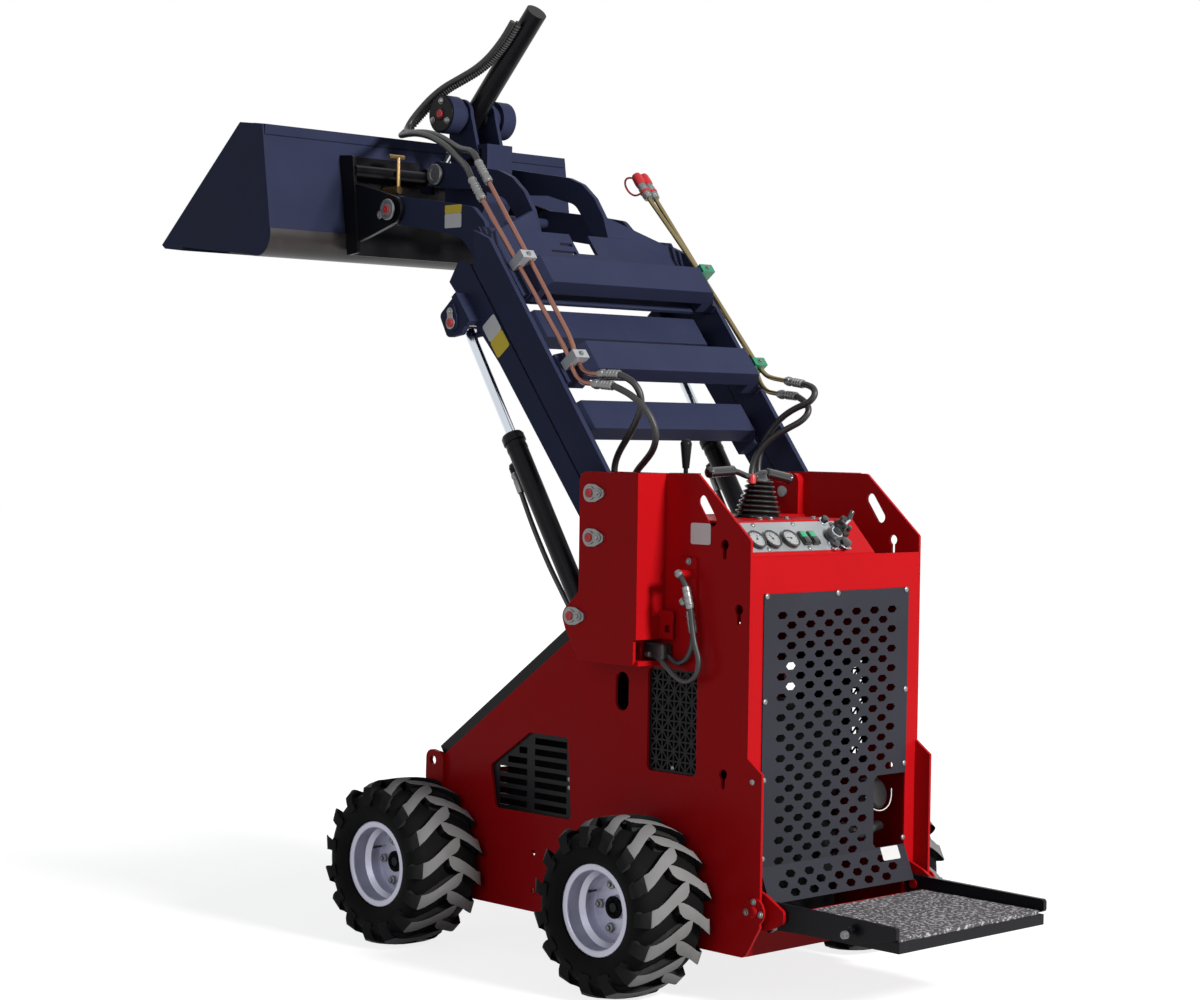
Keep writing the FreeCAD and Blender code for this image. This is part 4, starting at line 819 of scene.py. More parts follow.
# ------------------------------------------------ panel screws, bolts and labels
def fasteners(make, name, body, spots, direction, radius, twist, finish):
    """Copies of one fastener at a list of points, all facing one way, each turned a little further."""
    places = [facing(spot, direction, twist * number) for number, spot in enumerate(spots)]
    made = copies(name, make(name, radius), places)
    return dress(made, body, finish)


def screw_set(name, body, spots, direction, radius):
    """Domed screws at a list of points."""
    return fasteners(screw, name, body, spots, direction, radius, 0.5, "zinc")


def bolt_set(name, body, spots, direction, radius, finish="zinc"):
    """Hexagon bolts at a list of points."""
    return fasteners(bolt, name, body, spots, direction, radius, 0.7, finish)


def plate_label(name, body, middle, along, up, size, finish):
    """Thin blank plate with rounded corners, lying on a face."""
    along, up = Vector(along).normalized(), Vector(up).normalized()
    out = along.cross(up)
    clear_selection()
    bpy.ops.mesh.primitive_plane_add(size=1.0)
    label = bpy.context.object
    label.scale = (size[0], size[1], 1.0)
    settle(label, name)

    def thicken():
        bpy.ops.mesh.bevel(affect="VERTICES", offset=min(size) * 0.12, segments=4)
        bpy.ops.mesh.select_all(action="SELECT")
        pull_out((0, 0, 0.0007))

    edit_whole(label, thicken)
    turn = Matrix((along, up, out)).transposed().to_4x4()
    label.data.transform(Matrix.Translation(Vector(middle)) @ turn)
    return dress(label, body, finish)


def touch(node, start, direction):
    """First point on a carried-over node met from a start point, or the start itself."""
    hit, where, _, _ = NODES[node].ray_cast(Vector(start), Vector(direction))
    return where if hit else Vector(start)


def on_face(node, x, z, side=1):
    """Point on a node's outer left or right face."""
    return touch(node, (x, side * 0.9, z), (0, -side, 0))


def outermost(nodes, x, z, side=1):
    """Outermost point of several nodes beside a place; an error if none of them is there."""
    faces = [on_face(node, x, z, side) for node in nodes]
    faces = [face for face in faces if abs(face.y) < 0.85]
    if not faces:
        raise RuntimeError("nothing of " + ", ".join(nodes) + " is beside this place")
    return max(faces, key=lambda face: abs(face.y))


def retainer(name, body, centre, tail, outward, reach=0.030):
    """Zinc pin plate with the pin's red end and its one bolt."""
    tail = Vector(tail).normalized()
    up = Y_AXIS * outward
    end = centre + tail * reach
    parts = [spun("plate", centre, up, [(0, 0.0175), (0.0018, 0.0175), (0.0024, 0.0168)], 36),
             spun("lobe", end, up, [(0, 0.0115), (0.0018, 0.0115), (0.0024, 0.0108)], 28)]
    axes = Matrix((tail.cross(up), tail, up)).transposed().to_4x4()
    web = block("web", (-0.0105, 0.0, 0), (0.0105, reach, 0.0022), 0.0003, 1)
    web.data.transform(Matrix.Translation(centre) @ axes)
    if axes.determinant() < 0:
        web.data.flip_normals()
    parts += [web, copies("head", bolt("head", 0.0062), [facing(end + up * 0.002, up, 0.4)])]
    dress(joined(name, parts), body, "zinc")
    turned(name + "_pin", body, "cap_red", centre + up * 0.0022, up,
           [(0, 0.0118), (0.003, 0.0118), (0.0045, 0.0100), (0.0045, 0.0045), (0.0030, 0.0030)], 28)


class LOADER_OT_pins(bpy.types.Operator):
    """Add pin plates, bolts and painted pin ends at the pivots"""
    bl_idname = "loader.pins"
    bl_label = "Pivot pins"

    def execute(self, context):
        for side, word in SIDES:
            for key, pivot in (("upper", LINK_PIVOT), ("middle", ARM_PIVOT), ("lower", LIFT_BASE)):
                spot = Vector((pivot.x, side * PIVOT_FACE, pivot.z))
                retainer("pin_" + key + "_" + word, "chassis", spot, (-1, 0, 0.02), side)
            eye = place(0.286, side * EYE_FACE, 1.692)
            retainer("pin_lift_eye_" + word, "lift_arm", eye, (0.1, 0, 1), side)
            hump = outermost(("link_head", "tilt_pedestal"), HEAD_PIVOT.x, HEAD_PIVOT.z, side)
            turned("collar_hump_" + word, "level_link", "zinc_dark", hump, Y_AXIS * side,
                   [(0, 0.030), (0.006, 0.030), (0.008, 0.028), (0.008, 0.018), (0.005, 0.016)], 36)
            trunnion_disc(word, side)
            bucket_pin(word, side)
        return {"FINISHED"}


def trunnion_disc(word, side):
    """Bolted cover on each end of the tilt cylinder's trunnion."""
    face = on_face("tilt_pedestal", TRUNNION.x, TRUNNION.z, side)
    up = Y_AXIS * side
    turned("trunnion_cover_" + word, "head", "black_steel", face, up,
           [(0, 0.052), (0.003, 0.052), (0.0045, 0.050), (0.0045, 0.019), (0.0065, 0.017)], 48)
    bolt_set("trunnion_bolts_" + word, "head", around(face + up * 0.0045, 0.037, (95, 215, 335)), up, 0.0072)
    turned("trunnion_pin_" + word, "head", "cap_red", face + up * 0.006, up,
           [(0, 0.0125), (0.003, 0.0125), (0.0045, 0.0105)], 28)


def bucket_pin(word, side):
    """Large pin that the bucket's plate turns on."""
    spot = outermost(("link_head", "tilt_pedestal", "attach_plate"), BUCKET_PIN.x, BUCKET_PIN.z, side)
    up = Y_AXIS * side
    turned("bucket_pin_ring_" + word, "head", "zinc_dark", spot, up,
           [(0, 0.030), (0.004, 0.030), (0.0055, 0.028), (0.0055, 0.020), (0.003, 0.0185)], 40)
    retainer("bucket_pin_" + word, "head", spot + up * 0.003, (1, 0, -0.45), side, 0.034)


# ------------------------------------------------ body hardware
class LOADER_OT_body_hardware(bpy.types.Operator):
    """Add the screws, bolts and blank labels of the body, and dark panels behind its vents as painted shade
    """
    bl_idname = "loader.body_hardware"
    bl_label = "Body hardware"

    def execute(self, context):
        radius = context.scene.loader_sizes.screw
        rows = [(y, 1.008) for y in (0.268, 0.004, -0.265)]
        rows += [(y, z) for y in (0.270, -0.268) for z in (0.749, 0.556, 0.362)]
        grille_spots = [place(-0.7305, y, z) for y, z in rows]
        screw_set("grille_screws", "chassis", grille_spots, (-1, 0, 0), radius)
        side_hardware(radius)
        body_labels()
        vent_shade_panels()
        return {"FINISHED"}


def side_hardware(radius):
    """Screws and small bolts on both side plates."""
    for side, word in SIDES:
        y = side * (SIDE_FACE + DECAL_GAP)
        out = Y_AXIS * side
        screw_set("side_screws_" + word, "chassis", [place(-0.745, y, 0.558)], out, radius)
        vents = [on_face("side_vents_" + word, x + MIDDLE_X, z, side)
                 for x, z in ((-0.464, 0.562), (-0.085, 0.470), (-0.085, 0.492))]
        screw_set("vent_screws_" + word, "chassis", vents, out, radius * 0.75)
        marks = [place(0.049, y, 0.279), place(0.047, y, 0.179)]
        bolt_set("motor_bolts_" + word, "chassis", marks, out, 0.0055, "body_red")
        hinge = Vector((PLATFORM_HINGE.x, side * HINGE_FACE, PLATFORM_HINGE.z))
        bolt_set("hinge_bolts_" + word, "chassis", around(hinge, 0.0245, (92, -8, 188)), out, 0.0062)
        turned("hinge_cap_" + word, "chassis", "body_red", hinge, out,
               [(0, 0.0145), (0.003, 0.0145), (0.0055, 0.012), (0.007, 0.006)], 32)
    head = on_face("hydraulic_bracket", -0.523 + MIDDLE_X, 1.086)
    bolt_set("bracket_bolt", "chassis", [head], Y_AXIS, 0.0065)
    inlet = block("hose_inlet_box", place(-0.470, 0.330, 0.836), place(-0.400, 0.366, 0.878), 0.006, 3)
    dress(inlet, "chassis", "black_plastic")


def body_labels():
    """Blank plates where a machine of this kind carries labels."""
    spot = place(-0.558, SIDE_FACE + DECAL_GAP, 1.156)
    plate_label("label_side", "chassis", spot, (-1, 0, 0), Z_AXIS, (0.068, 0.053), "label_white")
    spot = touch("rear_grille", (-1.5, -0.213, 0.328), (1, 0, 0)) + Vector((-0.0006, 0, 0))
    plate_label("label_grille", "chassis", spot, (0, -1, 0), (0.034, 0, 0.084), (0.068, 0.036), "label_white")
    spot = on_face("arm_side_left", 0.152 + MIDDLE_X, 1.656) + Y_AXIS * DECAL_GAP
    for share, colour in ((0.027, "white"), (-0.027, "yellow")):
        plate_label("label_arm_" + colour, "lift_arm", spot + ARM_DIR * share, ARM_DIR.cross(Y_AXIS), ARM_DIR,
                    (0.058, 0.054), "label_" + colour)
    neck = outermost(("arm_side_left", "link_side_left", "link_head"), 0.441 + MIDDLE_X, 1.994)
    for rise, tall, colour in ((-0.011, 0.040, "white"), (0.021, 0.023, "yellow")):
        plate_label("label_neck_" + colour, "lift_arm", neck + Y_AXIS * DECAL_GAP + Z_AXIS * rise, (-1, 0, 0),
                    Z_AXIS, (0.070, tall), "label_" + colour)


# dark panels behind the side vents, painted shade: name, low corner (X, Z) and high corner (X, Z)
VENT_SHADE_PANELS = (("louvre", (-0.116, 0.374), (0.232, 0.612)), ("star", (-0.567, 0.536), (-0.366, 0.826)))


def vent_shade_panels():
    """Dark panels a little behind the louvres and the stars: painted shade for the body's dark inside."""
    for side, word in SIDES:
        panels = []
        for name, (x_low, z_low), (x_high, z_high) in VENT_SHADE_PANELS:
            depths = sorted(side * (SIDE_FACE - back) for back in (0.075, 0.078))
            low, high = place(x_low, depths[0], z_low), place(x_high, depths[1], z_high)
            panels.append(block(name, low, high, 0.0006, 1))
        dress(joined("vent_back_" + word, panels), "chassis", "engine_iron")


class LOADER_OT_engine_parts(bpy.types.Operator):
    """Add the filter, hoses and wires seen through the rear cut-out"""
    bl_idname = "loader.engine_parts"
    bl_label = "Engine parts"

    def execute(self, context):
        turned("oil_filter", "chassis", "black_plastic", place(-0.655, -0.205, 0.470),
               Vector((-0.95, -0.1, 0.25)),
               [(0, 0.040), (0.004, 0.043), (0.012, 0.043), (0.016, 0.041), (0.036, 0.041), (0.042, 0.036),
                (0.044, 0.020)], 40)
        low = flow("engine_hose_low", [place(*point) for point in ENGINE_HOSE], 0.026)
        dress(low, "chassis", "hose_rubber")
        wire = flow("engine_wire", [place(*point) for point in ENGINE_WIRE], 0.0032)
        dress(wire, "chassis", "label_white")
        return {"FINISHED"}


# ------------------------------------------------ dash
class LOADER_OT_dash(bpy.types.Operator):
    """Add the gauges, rockers, key switch, choke knob and screws of the dash"""
    bl_idname = "loader.dash"
    bl_label = "Dash"

    def execute(self, context):
        for number, y in enumerate((0.274, 0.217, 0.150)):
            gauge("gauge_" + str(number + 1), y, 30 + 55 * number)
        for number, y in enumerate((0.095, 0.062)):
            rocker("rocker_" + str(number + 1), y)
        key_cluster()
        spots = [on_dash(along, y, 0.003)
                 for along, y in ((0.0965, 0.245), (0.0965, 0.098), (0.0940, -0.046), (0.0165, -0.052),
                                  (0.0165, 0.094), (0.0165, 0.244))]
        screw_set("dash_screws", "chassis", spots, DASH_OUT, 0.0062)
        top = [place(-0.600, y, 1.1900) for y in (0.157, 0.118, 0.058, -0.045)]
        bolt_set("console_bolts", "chassis", top, Z_AXIS, 0.0065)
        return {"FINISHED"}


def gauge(name, y, needle_angle):
    """Round gauge with a black rim, pale face, ticks and needle."""
    seat = on_dash(GAUGE_ROW, y, 0.0100)
    turned(name + "_rim", "chassis", "gloss_black", seat, DASH_OUT,
           [(-0.006, 0.0275), (0.0025, 0.0275), (0.0040, 0.0262), (0.0040, 0.0232), (0.0022, 0.0222),
            (0.0010, 0.0215)], 56)
    turned(name + "_face", "chassis", "gauge_face", seat, DASH_OUT,
           [(0.0006, 0.0218), (0.0014, 0.0218)], 48)

    def stroke(word, angle, low, high, rise, radius):
        """Thin bar on the gauge's face, along a line from its middle."""
        way = DASH_DIR * math.cos(math.radians(angle)) + Y_AXIS * math.sin(math.radians(angle))
        lift = DASH_OUT * rise
        return rod(word, seat + way * low + lift, seat + way * high + lift, radius, 6)

    marks = [stroke("tick", -135 + 27 * number, 0.0168 if number % 5 else 0.0150, 0.0198, 0.0016, 0.00055)
             for number in range(11)]
    marks.append(stroke("needle", needle_angle - 60, -0.004, 0.0145, 0.0020, 0.0007))
    marks.append(spun("boss", seat + DASH_OUT * 0.0014, DASH_OUT, [(0, 0.0030), (0.0014, 0.0026)], 16))
    dress(joined(name + "_marks", marks), "chassis", "gloss_black")


def rocker(name, y):
    """Rocker switch: black rim and lower half, green upper half."""
    rim = block(name + "_rim", (-0.0125, -0.0215, -0.004), (0.0125, 0.0215, 0.0012), 0.0012)
    lower = block("lower", (-0.0100, -0.0185, 0.0), (0.0100, 0.0005, 0.0050), 0.0012)
    upper = block(name + "_lens", (-0.0100, 0.0010, 0.0), (0.0100, 0.0185, 0.0036), 0.0012)
    seat = Matrix.Translation(on_dash(SWITCH_ROW, y, 0.0093)) @ DASH_AXES
    body = joined(name + "_body", [rim, lower])
    for piece in (body, upper):
        piece.data.transform(seat)
        if DASH_AXES.determinant() < 0:
            piece.data.flip_normals()
    dress(body, "chassis", "gloss_black")
    dress(upper, "chassis", "switch_green")


def key_cluster():
    """Key switch, choke and throttle knobs crowded at the dash's right end."""
    chrome = [spun("nut", on_dash(SWITCH_ROW, -0.012, 0.022), DASH_OUT,
                   [(0, 0.0165), (0.006, 0.0165), (0.0075, 0.0150), (0.0075, 0.0105)], 40)]
    black = [spun("barrel", on_dash(SWITCH_ROW, -0.012, 0.010), DASH_OUT,
                  [(0, 0.0245), (0.010, 0.0245), (0.014, 0.020), (0.014, 0.0165)], 40)]
    chrome.append(rod("key_blade", on_dash(SWITCH_ROW, -0.012, 0.028), on_dash(SWITCH_ROW, -0.012, 0.046),
                      0.0028, 12, 0.0005))
    bow = block("key_bow", (-0.004, -0.013, 0.040), (0.004, 0.013, 0.062), 0.0025)
    bow.data.transform(Matrix.Translation(on_dash(SWITCH_ROW, -0.012, 0.0)) @ DASH_AXES)
    black.append(bow)
    # each knob: distance up the dash, Y, its foot and top above the dash, and its radius
    for along, y, low, high, radius in ((0.078, -0.048, 0.011, 0.030, 0.010),
                                        (0.101, -0.018, 0.006, 0.020, 0.0105),
                                        (0.058, -0.066, 0.012, 0.034, 0.0075),
                                        (0.020, 0.006, 0.008, 0.022, 0.0125)):
        tall = high - low
        chrome.append(spun("collar", on_dash(along, y, 0.002), DASH_OUT,
                           [(0, radius * 1.25), (low, radius * 1.2), (low + 0.001, radius)], 28))
        black.append(spun("knob", on_dash(along, y, low), DASH_OUT,
                          [(0, radius * 0.6), (0.003, radius * 0.62), (0.006, radius * 0.95),
                           (tall * 0.7, radius), (tall * 0.95, radius * 0.85), (tall, radius * 0.5)], 28))
    chrome.append(rod("choke_rod", on_dash(0.060, -0.036, 0.020), on_dash(0.074, -0.072, 0.040),
                      0.0035, 14, 0.0008))
    black.append(rod("choke_grip", on_dash(0.074, -0.072, 0.034), on_dash(0.092, -0.082, 0.056),
                     0.0062, 18, 0.002))
    black.append(rod("plug", on_dash(0.018, -0.030, 0.004), on_dash(0.018, -0.030, 0.026), 0.015, 24, 0.003))
    chrome.append(rod("plug_ring", on_dash(0.018, -0.030, 0.012), on_dash(0.018, -0.030, 0.016),
                      0.0162, 28, 0.001))
    dress(joined("key_metal", chrome), "chassis", "chrome_rod")
    dress(joined("key_black", black), "chassis", "gloss_black")


# ------------------------------------------------ joystick and levers
class LOADER_OT_joystick(bpy.types.Operator):
    """Add the ribbed boot, cross bar, grips and red button of the drive stick"""
    bl_idname = "loader.joystick"
    bl_label = "Joystick"

    def execute(self, context):
        foot = place(STICK_X, 0.024, 1.189)
        profile = [(0.0, 0.066), (0.004, 0.066), (0.006, 0.058)]
        for number in range(7):
            share = number / 6
            wide = 0.060 - 0.024 * share
            rise = 0.010 + 0.0128 * number
            profile += [(rise, wide - 0.0085), (rise + 0.0035, wide - 0.001), (rise + 0.0060, wide),
                        (rise + 0.0085, wide - 0.001), (rise + 0.0115, wide - 0.0085)]
        profile += [(0.104, 0.020), (0.112, 0.016)]
        boot = spun("boot", foot, Vector((0.0, -0.06, 1.0)), profile, 56)
        bar = flow("bar", [place(STICK_X, y, z) for y, z in ((0.215, 1.306), (0.150, 1.315), (0.105, 1.308),
                                                            (0.062, 1.294), (0.034, 1.296), (0.010, 1.307),
                                                            (-0.042, 1.300), (-0.094, 1.289))], 0.016)
        grips = [grip((0.212, 1.306), (0.118, 1.311), 0.0135), grip((-0.094, 1.289), (-0.004, 1.305), 0.0140)]
        stick = joined("joystick_boot_and_bar", [boot, bar] + grips)
        dress(stick, "chassis", "gloss_black", 30)
        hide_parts("joystick")
        turned("joystick_button", "chassis", "cap_red", place(-0.476, 0.054, 1.278), Z_AXIS,
               [(0, 0.0105), (0.016, 0.0105), (0.021, 0.0090), (0.024, 0.0050)], 28)
        return {"FINISHED"}


def grip(outer, inner, radius):
    """Ribbed rubber grip between two points across the stick's bar."""
    start, end = place(STICK_X, *outer), place(STICK_X, *inner)
    length = (end - start).length
    profile = [(-0.003, radius * 0.55), (0.0, radius * 1.02), (0.005, radius * 1.12)]
    for number in range(9):
        here = 0.009 + (length - 0.016) * number / 9
        profile += [(here, radius), (here + 0.003, radius * 0.94)]
    profile += [(length - 0.004, radius * 0.98), (length, radius * 0.7)]
    return spun("grip", start, end - start, profile, 28)


# ------------------------------------------------ hoses
def hose(name, node, route, diameter):
    """Rubber hose along a route from the wheelbase's middle, in place of a carried-over node."""
    made = flow(name, [place(*point) for point in route], diameter)
    made.data.materials.clear()
    made.data.materials.append(finish_named("hose_rubber"))
    pick(made)
    bpy.ops.object.shade_smooth()
    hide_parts(node)
    return made


def on_side(route, side):
    """A left route's points, mirrored when the side is -1."""
    return [(x, side * y, z) for x, y, z in route]


def paired(route, sign):
    """Route of one hose of a pair that runs side by side."""
    points = [Vector(point) for point in route]
    runs = [after - before for before, after in zip([points[0]] + points, points[1:] + [points[-1]])]
    return [tuple(point + run.cross(Vector((0.6, 0, 0.8))).normalized() * sign * PAIR_OFFSET)
            for point, run in zip(points, runs)]


def middle_of(first, second):
    return tuple((Vector(first) + Vector(second)) / 2)


def from_middle(point):
    """The point as the routes give it, from the wheelbase's middle."""
    return (point.x - MIDDLE_X, point.y, point.z)


TILT_LEADS = {1: [(0.398, 0.318, 2.152), from_middle(on_link(1.045, 0.346, 0.069)),
                  from_middle(on_link(1.005, 0.354, 0.069))],
              -1: [(0.404, 0.300, 2.176), from_middle(on_link(1.085, 0.322, 0.097)),
                   from_middle(on_link(1.045, 0.330, 0.097))]}


class LOADER_OT_hoses(bpy.types.Operator):
    """Add every hydraulic hose as one smooth curve between its fittings"""
    bl_idname = "loader.hoses"
    bl_label = "Hoses"

    def execute(self, context):
        sizes = context.scene.loader_sizes
        for word, route in (("left_rear", LEFT_REAR), ("left_front", LEFT_FRONT), ("right_rear", RIGHT_REAR),
                            ("right_front", RIGHT_FRONT)):
            made = hose("arm_hose_" + word, "arm_hoses", route, sizes.arm_hose)
            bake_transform(made)
        for side, word in SIDES:
            route = on_side(LIFT_HOSE, side)
            made = hose("lift_hose_" + word, "lift_hoses", route, sizes.small_hose)
            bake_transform(made)
        for word, route in (("upper", BODY_HOSE_UPPER), ("lower", BODY_HOSE_LOWER)):
            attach(hose("body_hose_" + word, "body_hoses", route, sizes.small_hose), "chassis")
        for sign, word in ((1, "upper"), (-1, "lower")):
            tilt_hose(word, paired(TILT_HOSE_MIDDLE, sign) + TILT_LEADS[sign], sizes.arm_hose)
        return {"FINISHED"}


def tilt_hose(word, route, diameter):
    """Tilt hose in two lengths that meet beside the head, one for each pivot it crosses."""
    meet = middle_of(route[SPLIT - 1], route[SPLIT])
    first = hose("tilt_hose_" + word + "_head", "tilt_hoses", route[:SPLIT] + [meet], diameter)
    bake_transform(first)
    second = hose("tilt_hose_" + word + "_link", "tilt_hoses", [meet] + route[SPLIT:], diameter)
    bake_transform(second)
    if word == "upper":
        guard = rings_along("tilt_hose_guard", [place(*point) for point in route[:SPLIT] + [meet]], 0.0075,
                            diameter / 2 + 0.0035, 0.0028)
        guard.data.materials.append(finish_named("guard_plastic"))
        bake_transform(guard)


# ------------------------------------------------ fittings on the lines
def fitting_nut(start, direction, radius=0.0135, length=0.016):
    """Hexagon nut with a collar each side."""
    start, direction = Vector(start), Vector(direction).normalized()
    nut = rod("nut", start, start + direction * length, radius, 6, 0.0014)
    profile = [(0, radius * 0.80), (length + 0.008, radius * 0.80)]
    return [nut, spun("collar", start - direction * 0.004, direction, profile, 24)]


def crimp_rings(start, direction, radius, spots):
    start, direction = Vector(start), Vector(direction).normalized()
    profile = [(-0.0022, radius), (-0.001, radius + 0.0012), (0.001, radius + 0.0012), (0.0022, radius)]
    return [spun("ring", start + direction * spot, direction, profile, 24) for spot in spots]


class LOADER_OT_line_fittings(bpy.types.Operator):
    """Add nuts, rings, couplers, dust caps and clamp screws on the steel lines"""
    bl_idname = "loader.line_fittings"
    bl_label = "Line fittings"

    def execute(self, context):
        parts = []
        for length, y, rise in ((0.945, 0.354, 0.069), (0.985, 0.330, 0.097)):
            start = on_link(length, y, rise)
            parts += fitting_nut(start - ARM_DIR * 0.012, ARM_DIR)
            parts += crimp_rings(start, ARM_DIR, CRIMP_RADIUS, (0.016, 0.026, 0.036, 0.054))
        for before, after in (((-0.195, 0.352, 1.528), (-0.260, 0.347, 1.523)),
                              ((-0.200, 0.337, 1.554), (-0.265, 0.330, 1.552)),
                              ((-0.235, -0.342, 1.552), (-0.300, -0.336, 1.543)),
                              ((-0.200, -0.352, 1.516), (-0.266, -0.348, 1.510))):
            start, end = place(*before), place(*after)
            parts += fitting_nut(start, end - start)
            parts += crimp_rings(start, end - start, CRIMP_RADIUS, (0.030, 0.040, 0.050, 0.061))
        made = joined("line_nuts", parts)
        dress(made, "level_link", "zinc")
        couplers()
        clamp_screws()
        body_fittings()
        return {"FINISHED"}


def couplers():
    """Quick couplers with red dust caps on their tethers."""
    silver, red = [], []
    for number, y in enumerate((-0.330, -0.358)):
        foot = on_link(1.010, y, 0.062)
        silver += crimp_rings(foot, ARM_DIR, 0.0132, (0.010, 0.016, 0.030, 0.036))
        silver += fitting_nut(foot + ARM_DIR * 0.001, ARM_DIR, 0.0150, 0.012)
        red.append(spun("cap", foot + ARM_DIR * 0.050, ARM_DIR,
                        [(0, 0.0150), (0.010, 0.0158), (0.030, 0.0150), (0.038, 0.0120), (0.041, 0.0060)],
                        32))
        red.append(spun("tether_ring", foot + ARM_DIR * 0.019, ARM_DIR,
                        [(0, 0.0148), (0.001, 0.0160), (0.005, 0.0160), (0.006, 0.0148)], 32))
        base, tip = foot + ARM_DIR * 0.022, foot + ARM_DIR * 0.078
        bulge, back = Vector((0.045, -0.016 if number else 0.012, -0.006)), ARM_DIR * 0.010
        red.append(flow("tether", [base + bulge.normalized() * 0.014, base + bulge * 0.75 - back,
                                   base + bulge * 1.1 + back, tip + bulge * 1.05 - back,
                                   tip + bulge * 0.6 + back, tip + bulge.normalized() * 0.012], 0.0060))
    dress(joined("coupler_rings", silver), "level_link", "zinc")
    dress(joined("coupler_caps", red), "level_link", "cap_red")


def clamp_screws():
    """One bolt on top of each pipe clamp."""
    spots = [on_link(length, side * 0.342, 0.1145) for side in (1, -1) for length in (0.703, 0.365)]
    bolt_set("clamp_bolts", "level_link", spots, ARM_BACK, 0.0055)


def body_fittings():
    """Elbows, crimps and nuts of the hoses on the left side plate and the lift cylinders."""
    parts = []
    for route in (BODY_HOSE_UPPER, BODY_HOSE_LOWER):
        first, second, third = place(*route[0]), place(*route[1]), place(*route[3])
        parts += fitting_nut(first - (second - first).normalized() * 0.004, second - first, 0.0115, 0.010)
        run = third - second
        parts.append(spun("crimp", second + run * 0.15, run,
                          [(0, 0.0092), (0.004, 0.0104), (0.052, 0.0104), (0.056, 0.0090)], 28))
        parts += crimp_rings(second + run * 0.15, run, 0.0104, (0.012, 0.028, 0.044))
        last, before = place(*route[-1]), place(*route[-2])
        parts += fitting_nut(last - (last - before).normalized() * 0.024, last - before, 0.0105, 0.012)
    dress(joined("body_hose_fittings", parts), "chassis", "zinc")
    for side, word in SIDES:
        route = [place(*point) for point in on_side(LIFT_HOSE, side)]
        top, run = route[0], (route[1] - route[0]).normalized()
        made = fitting_nut(top - run * 0.004, run, 0.0115, 0.011)
        made.append(spun("crimp", top + run * 0.012, run,
                         [(0, 0.0088), (0.003, 0.0100), (0.036, 0.0100), (0.039, 0.0086)], 28))
        dress(joined("lift_hose_top_" + word, made), "lift_barrel_" + word, "zinc")
        low, run = route[-1], (route[-2] - route[-1]).normalized()
        made = fitting_nut(low + run * 0.002, run, 0.0115, 0.011)
        dress(joined("lift_hose_foot_" + word, made), "chassis", "zinc")


# ------------------------------------------------ cylinders
def far_end(node, origin, axis):
    """Greatest distance of a node's points along an axis."""
    return max((vertex.co - origin).dot(axis) for vertex in NODES[node].data.vertices)


def cylinder_trim(name, node, body, origin, axis, radius):
    """Gland nut, seal and weld rings on a cylinder's barrel."""
    axis = Vector(axis).normalized()
    high = far_end(node, origin, axis)
    rings = [spun("gland", origin + axis * (high - 0.026), axis,
                  [(0, radius), (0.002, radius + 0.0035), (0.020, radius + 0.0035), (0.024, radius + 0.001),
                   (0.026, radius * 0.75)], 48)]
    bead = [(-0.002, radius), (-0.0006, radius + 0.0012), (0.0006, radius + 0.0012), (0.002, radius)]
    rings += [spun("bead", origin + axis * (high - spot), axis, bead, 48) for spot in (0.040, 0.046)]
    dress(joined(name + "_gland", rings), body, "black_steel")
    turned(name + "_wiper", body, "black_plastic", origin + axis * (high - 0.0005), axis,
           [(0, radius * 0.74), (0.003, radius * 0.72), (0.0045, radius * 0.62)], 40)


class LOADER_OT_cylinders(bpy.types.Operator):
    """Add glands, wipers and weld rings to the hydraulic cylinders"""
    bl_idname = "loader.cylinders"
    bl_label = "Cylinders"

    def execute(self, context):
        cylinder_trim("tilt", "tilt_barrel", "tilt_barrel", TRUNNION, TILT_AXIS, TILT_BARREL_RADIUS)
        for side, word in SIDES:
            base = Vector((LIFT_BASE.x, side * abs(LIFT_BASE.y), LIFT_BASE.z))
            barrel = "lift_barrel_" + word
            cylinder_trim("lift_" + word, barrel, barrel, base, LIFT_AXIS, LIFT_BARREL_RADIUS)
        return {"FINISHED"}


# ------------------------------------------------ bucket and platform
HEEL, BACK_TOP, TIP = place(0.886, 0, 1.884), place(0.939, 0, 2.262), place(1.434, 0, 1.941)
HEEL_RADIUS = 0.060


def slab(name, outline, y_low, y_high):
    """Plate of even width whose outline lies in the plane of X and Z."""
    clear_selection()
    bpy.ops.mesh.primitive_circle_add(vertices=len(outline), radius=0.01, fill_type="NGON")
    piece = settle(bpy.context.object, name)
    for vertex, here in zip(piece.data.vertices, outline):
        vertex.co = (here.x, y_low, here.z)
    edit_whole(piece, lambda: pull_out((0, y_high - y_low, 0)))
    return piece


def heel_line(out):
    """Line round the bucket's heel, a distance outside its skin."""
    up, along = (BACK_TOP - HEEL).normalized(), (TIP - HEEL).normalized()
    half = up.angle(along) / 2
    centre = HEEL + (up + along).normalized() * HEEL_RADIUS / math.sin(half)
    reach = HEEL_RADIUS / math.tan(half)
    first, last = HEEL + up * reach - centre, HEEL + along * reach - centre
    sweep = first.angle(last)
    across = (last - first * math.cos(sweep)) / math.sin(sweep)
    arc = [first * math.cos(sweep * n / 10) + across * math.sin(sweep * n / 10) for n in range(11)]
    arc = [centre + spoke.normalized() * (HEEL_RADIUS + out) for spoke in arc]
    return [arc[0] + up * 0.006] + arc + [arc[-1] + along * 0.130]


class LOADER_OT_bucket_trim(bpy.types.Operator):
    """Add the strip round the bucket's heel"""
    bl_idname = "loader.bucket_trim"
    bl_label = "Bucket trim"

    def execute(self, context):
        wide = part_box("bucket_shell")[1].y - 0.0005
        outer, inner = heel_line(0.0028), heel_line(-0.0004)
        strip = slab("bucket_heel_strip", outer + inner[::-1], -wide, wide)
        dress(strip, "bucket", "heel_brown")
        return {"FINISHED"}


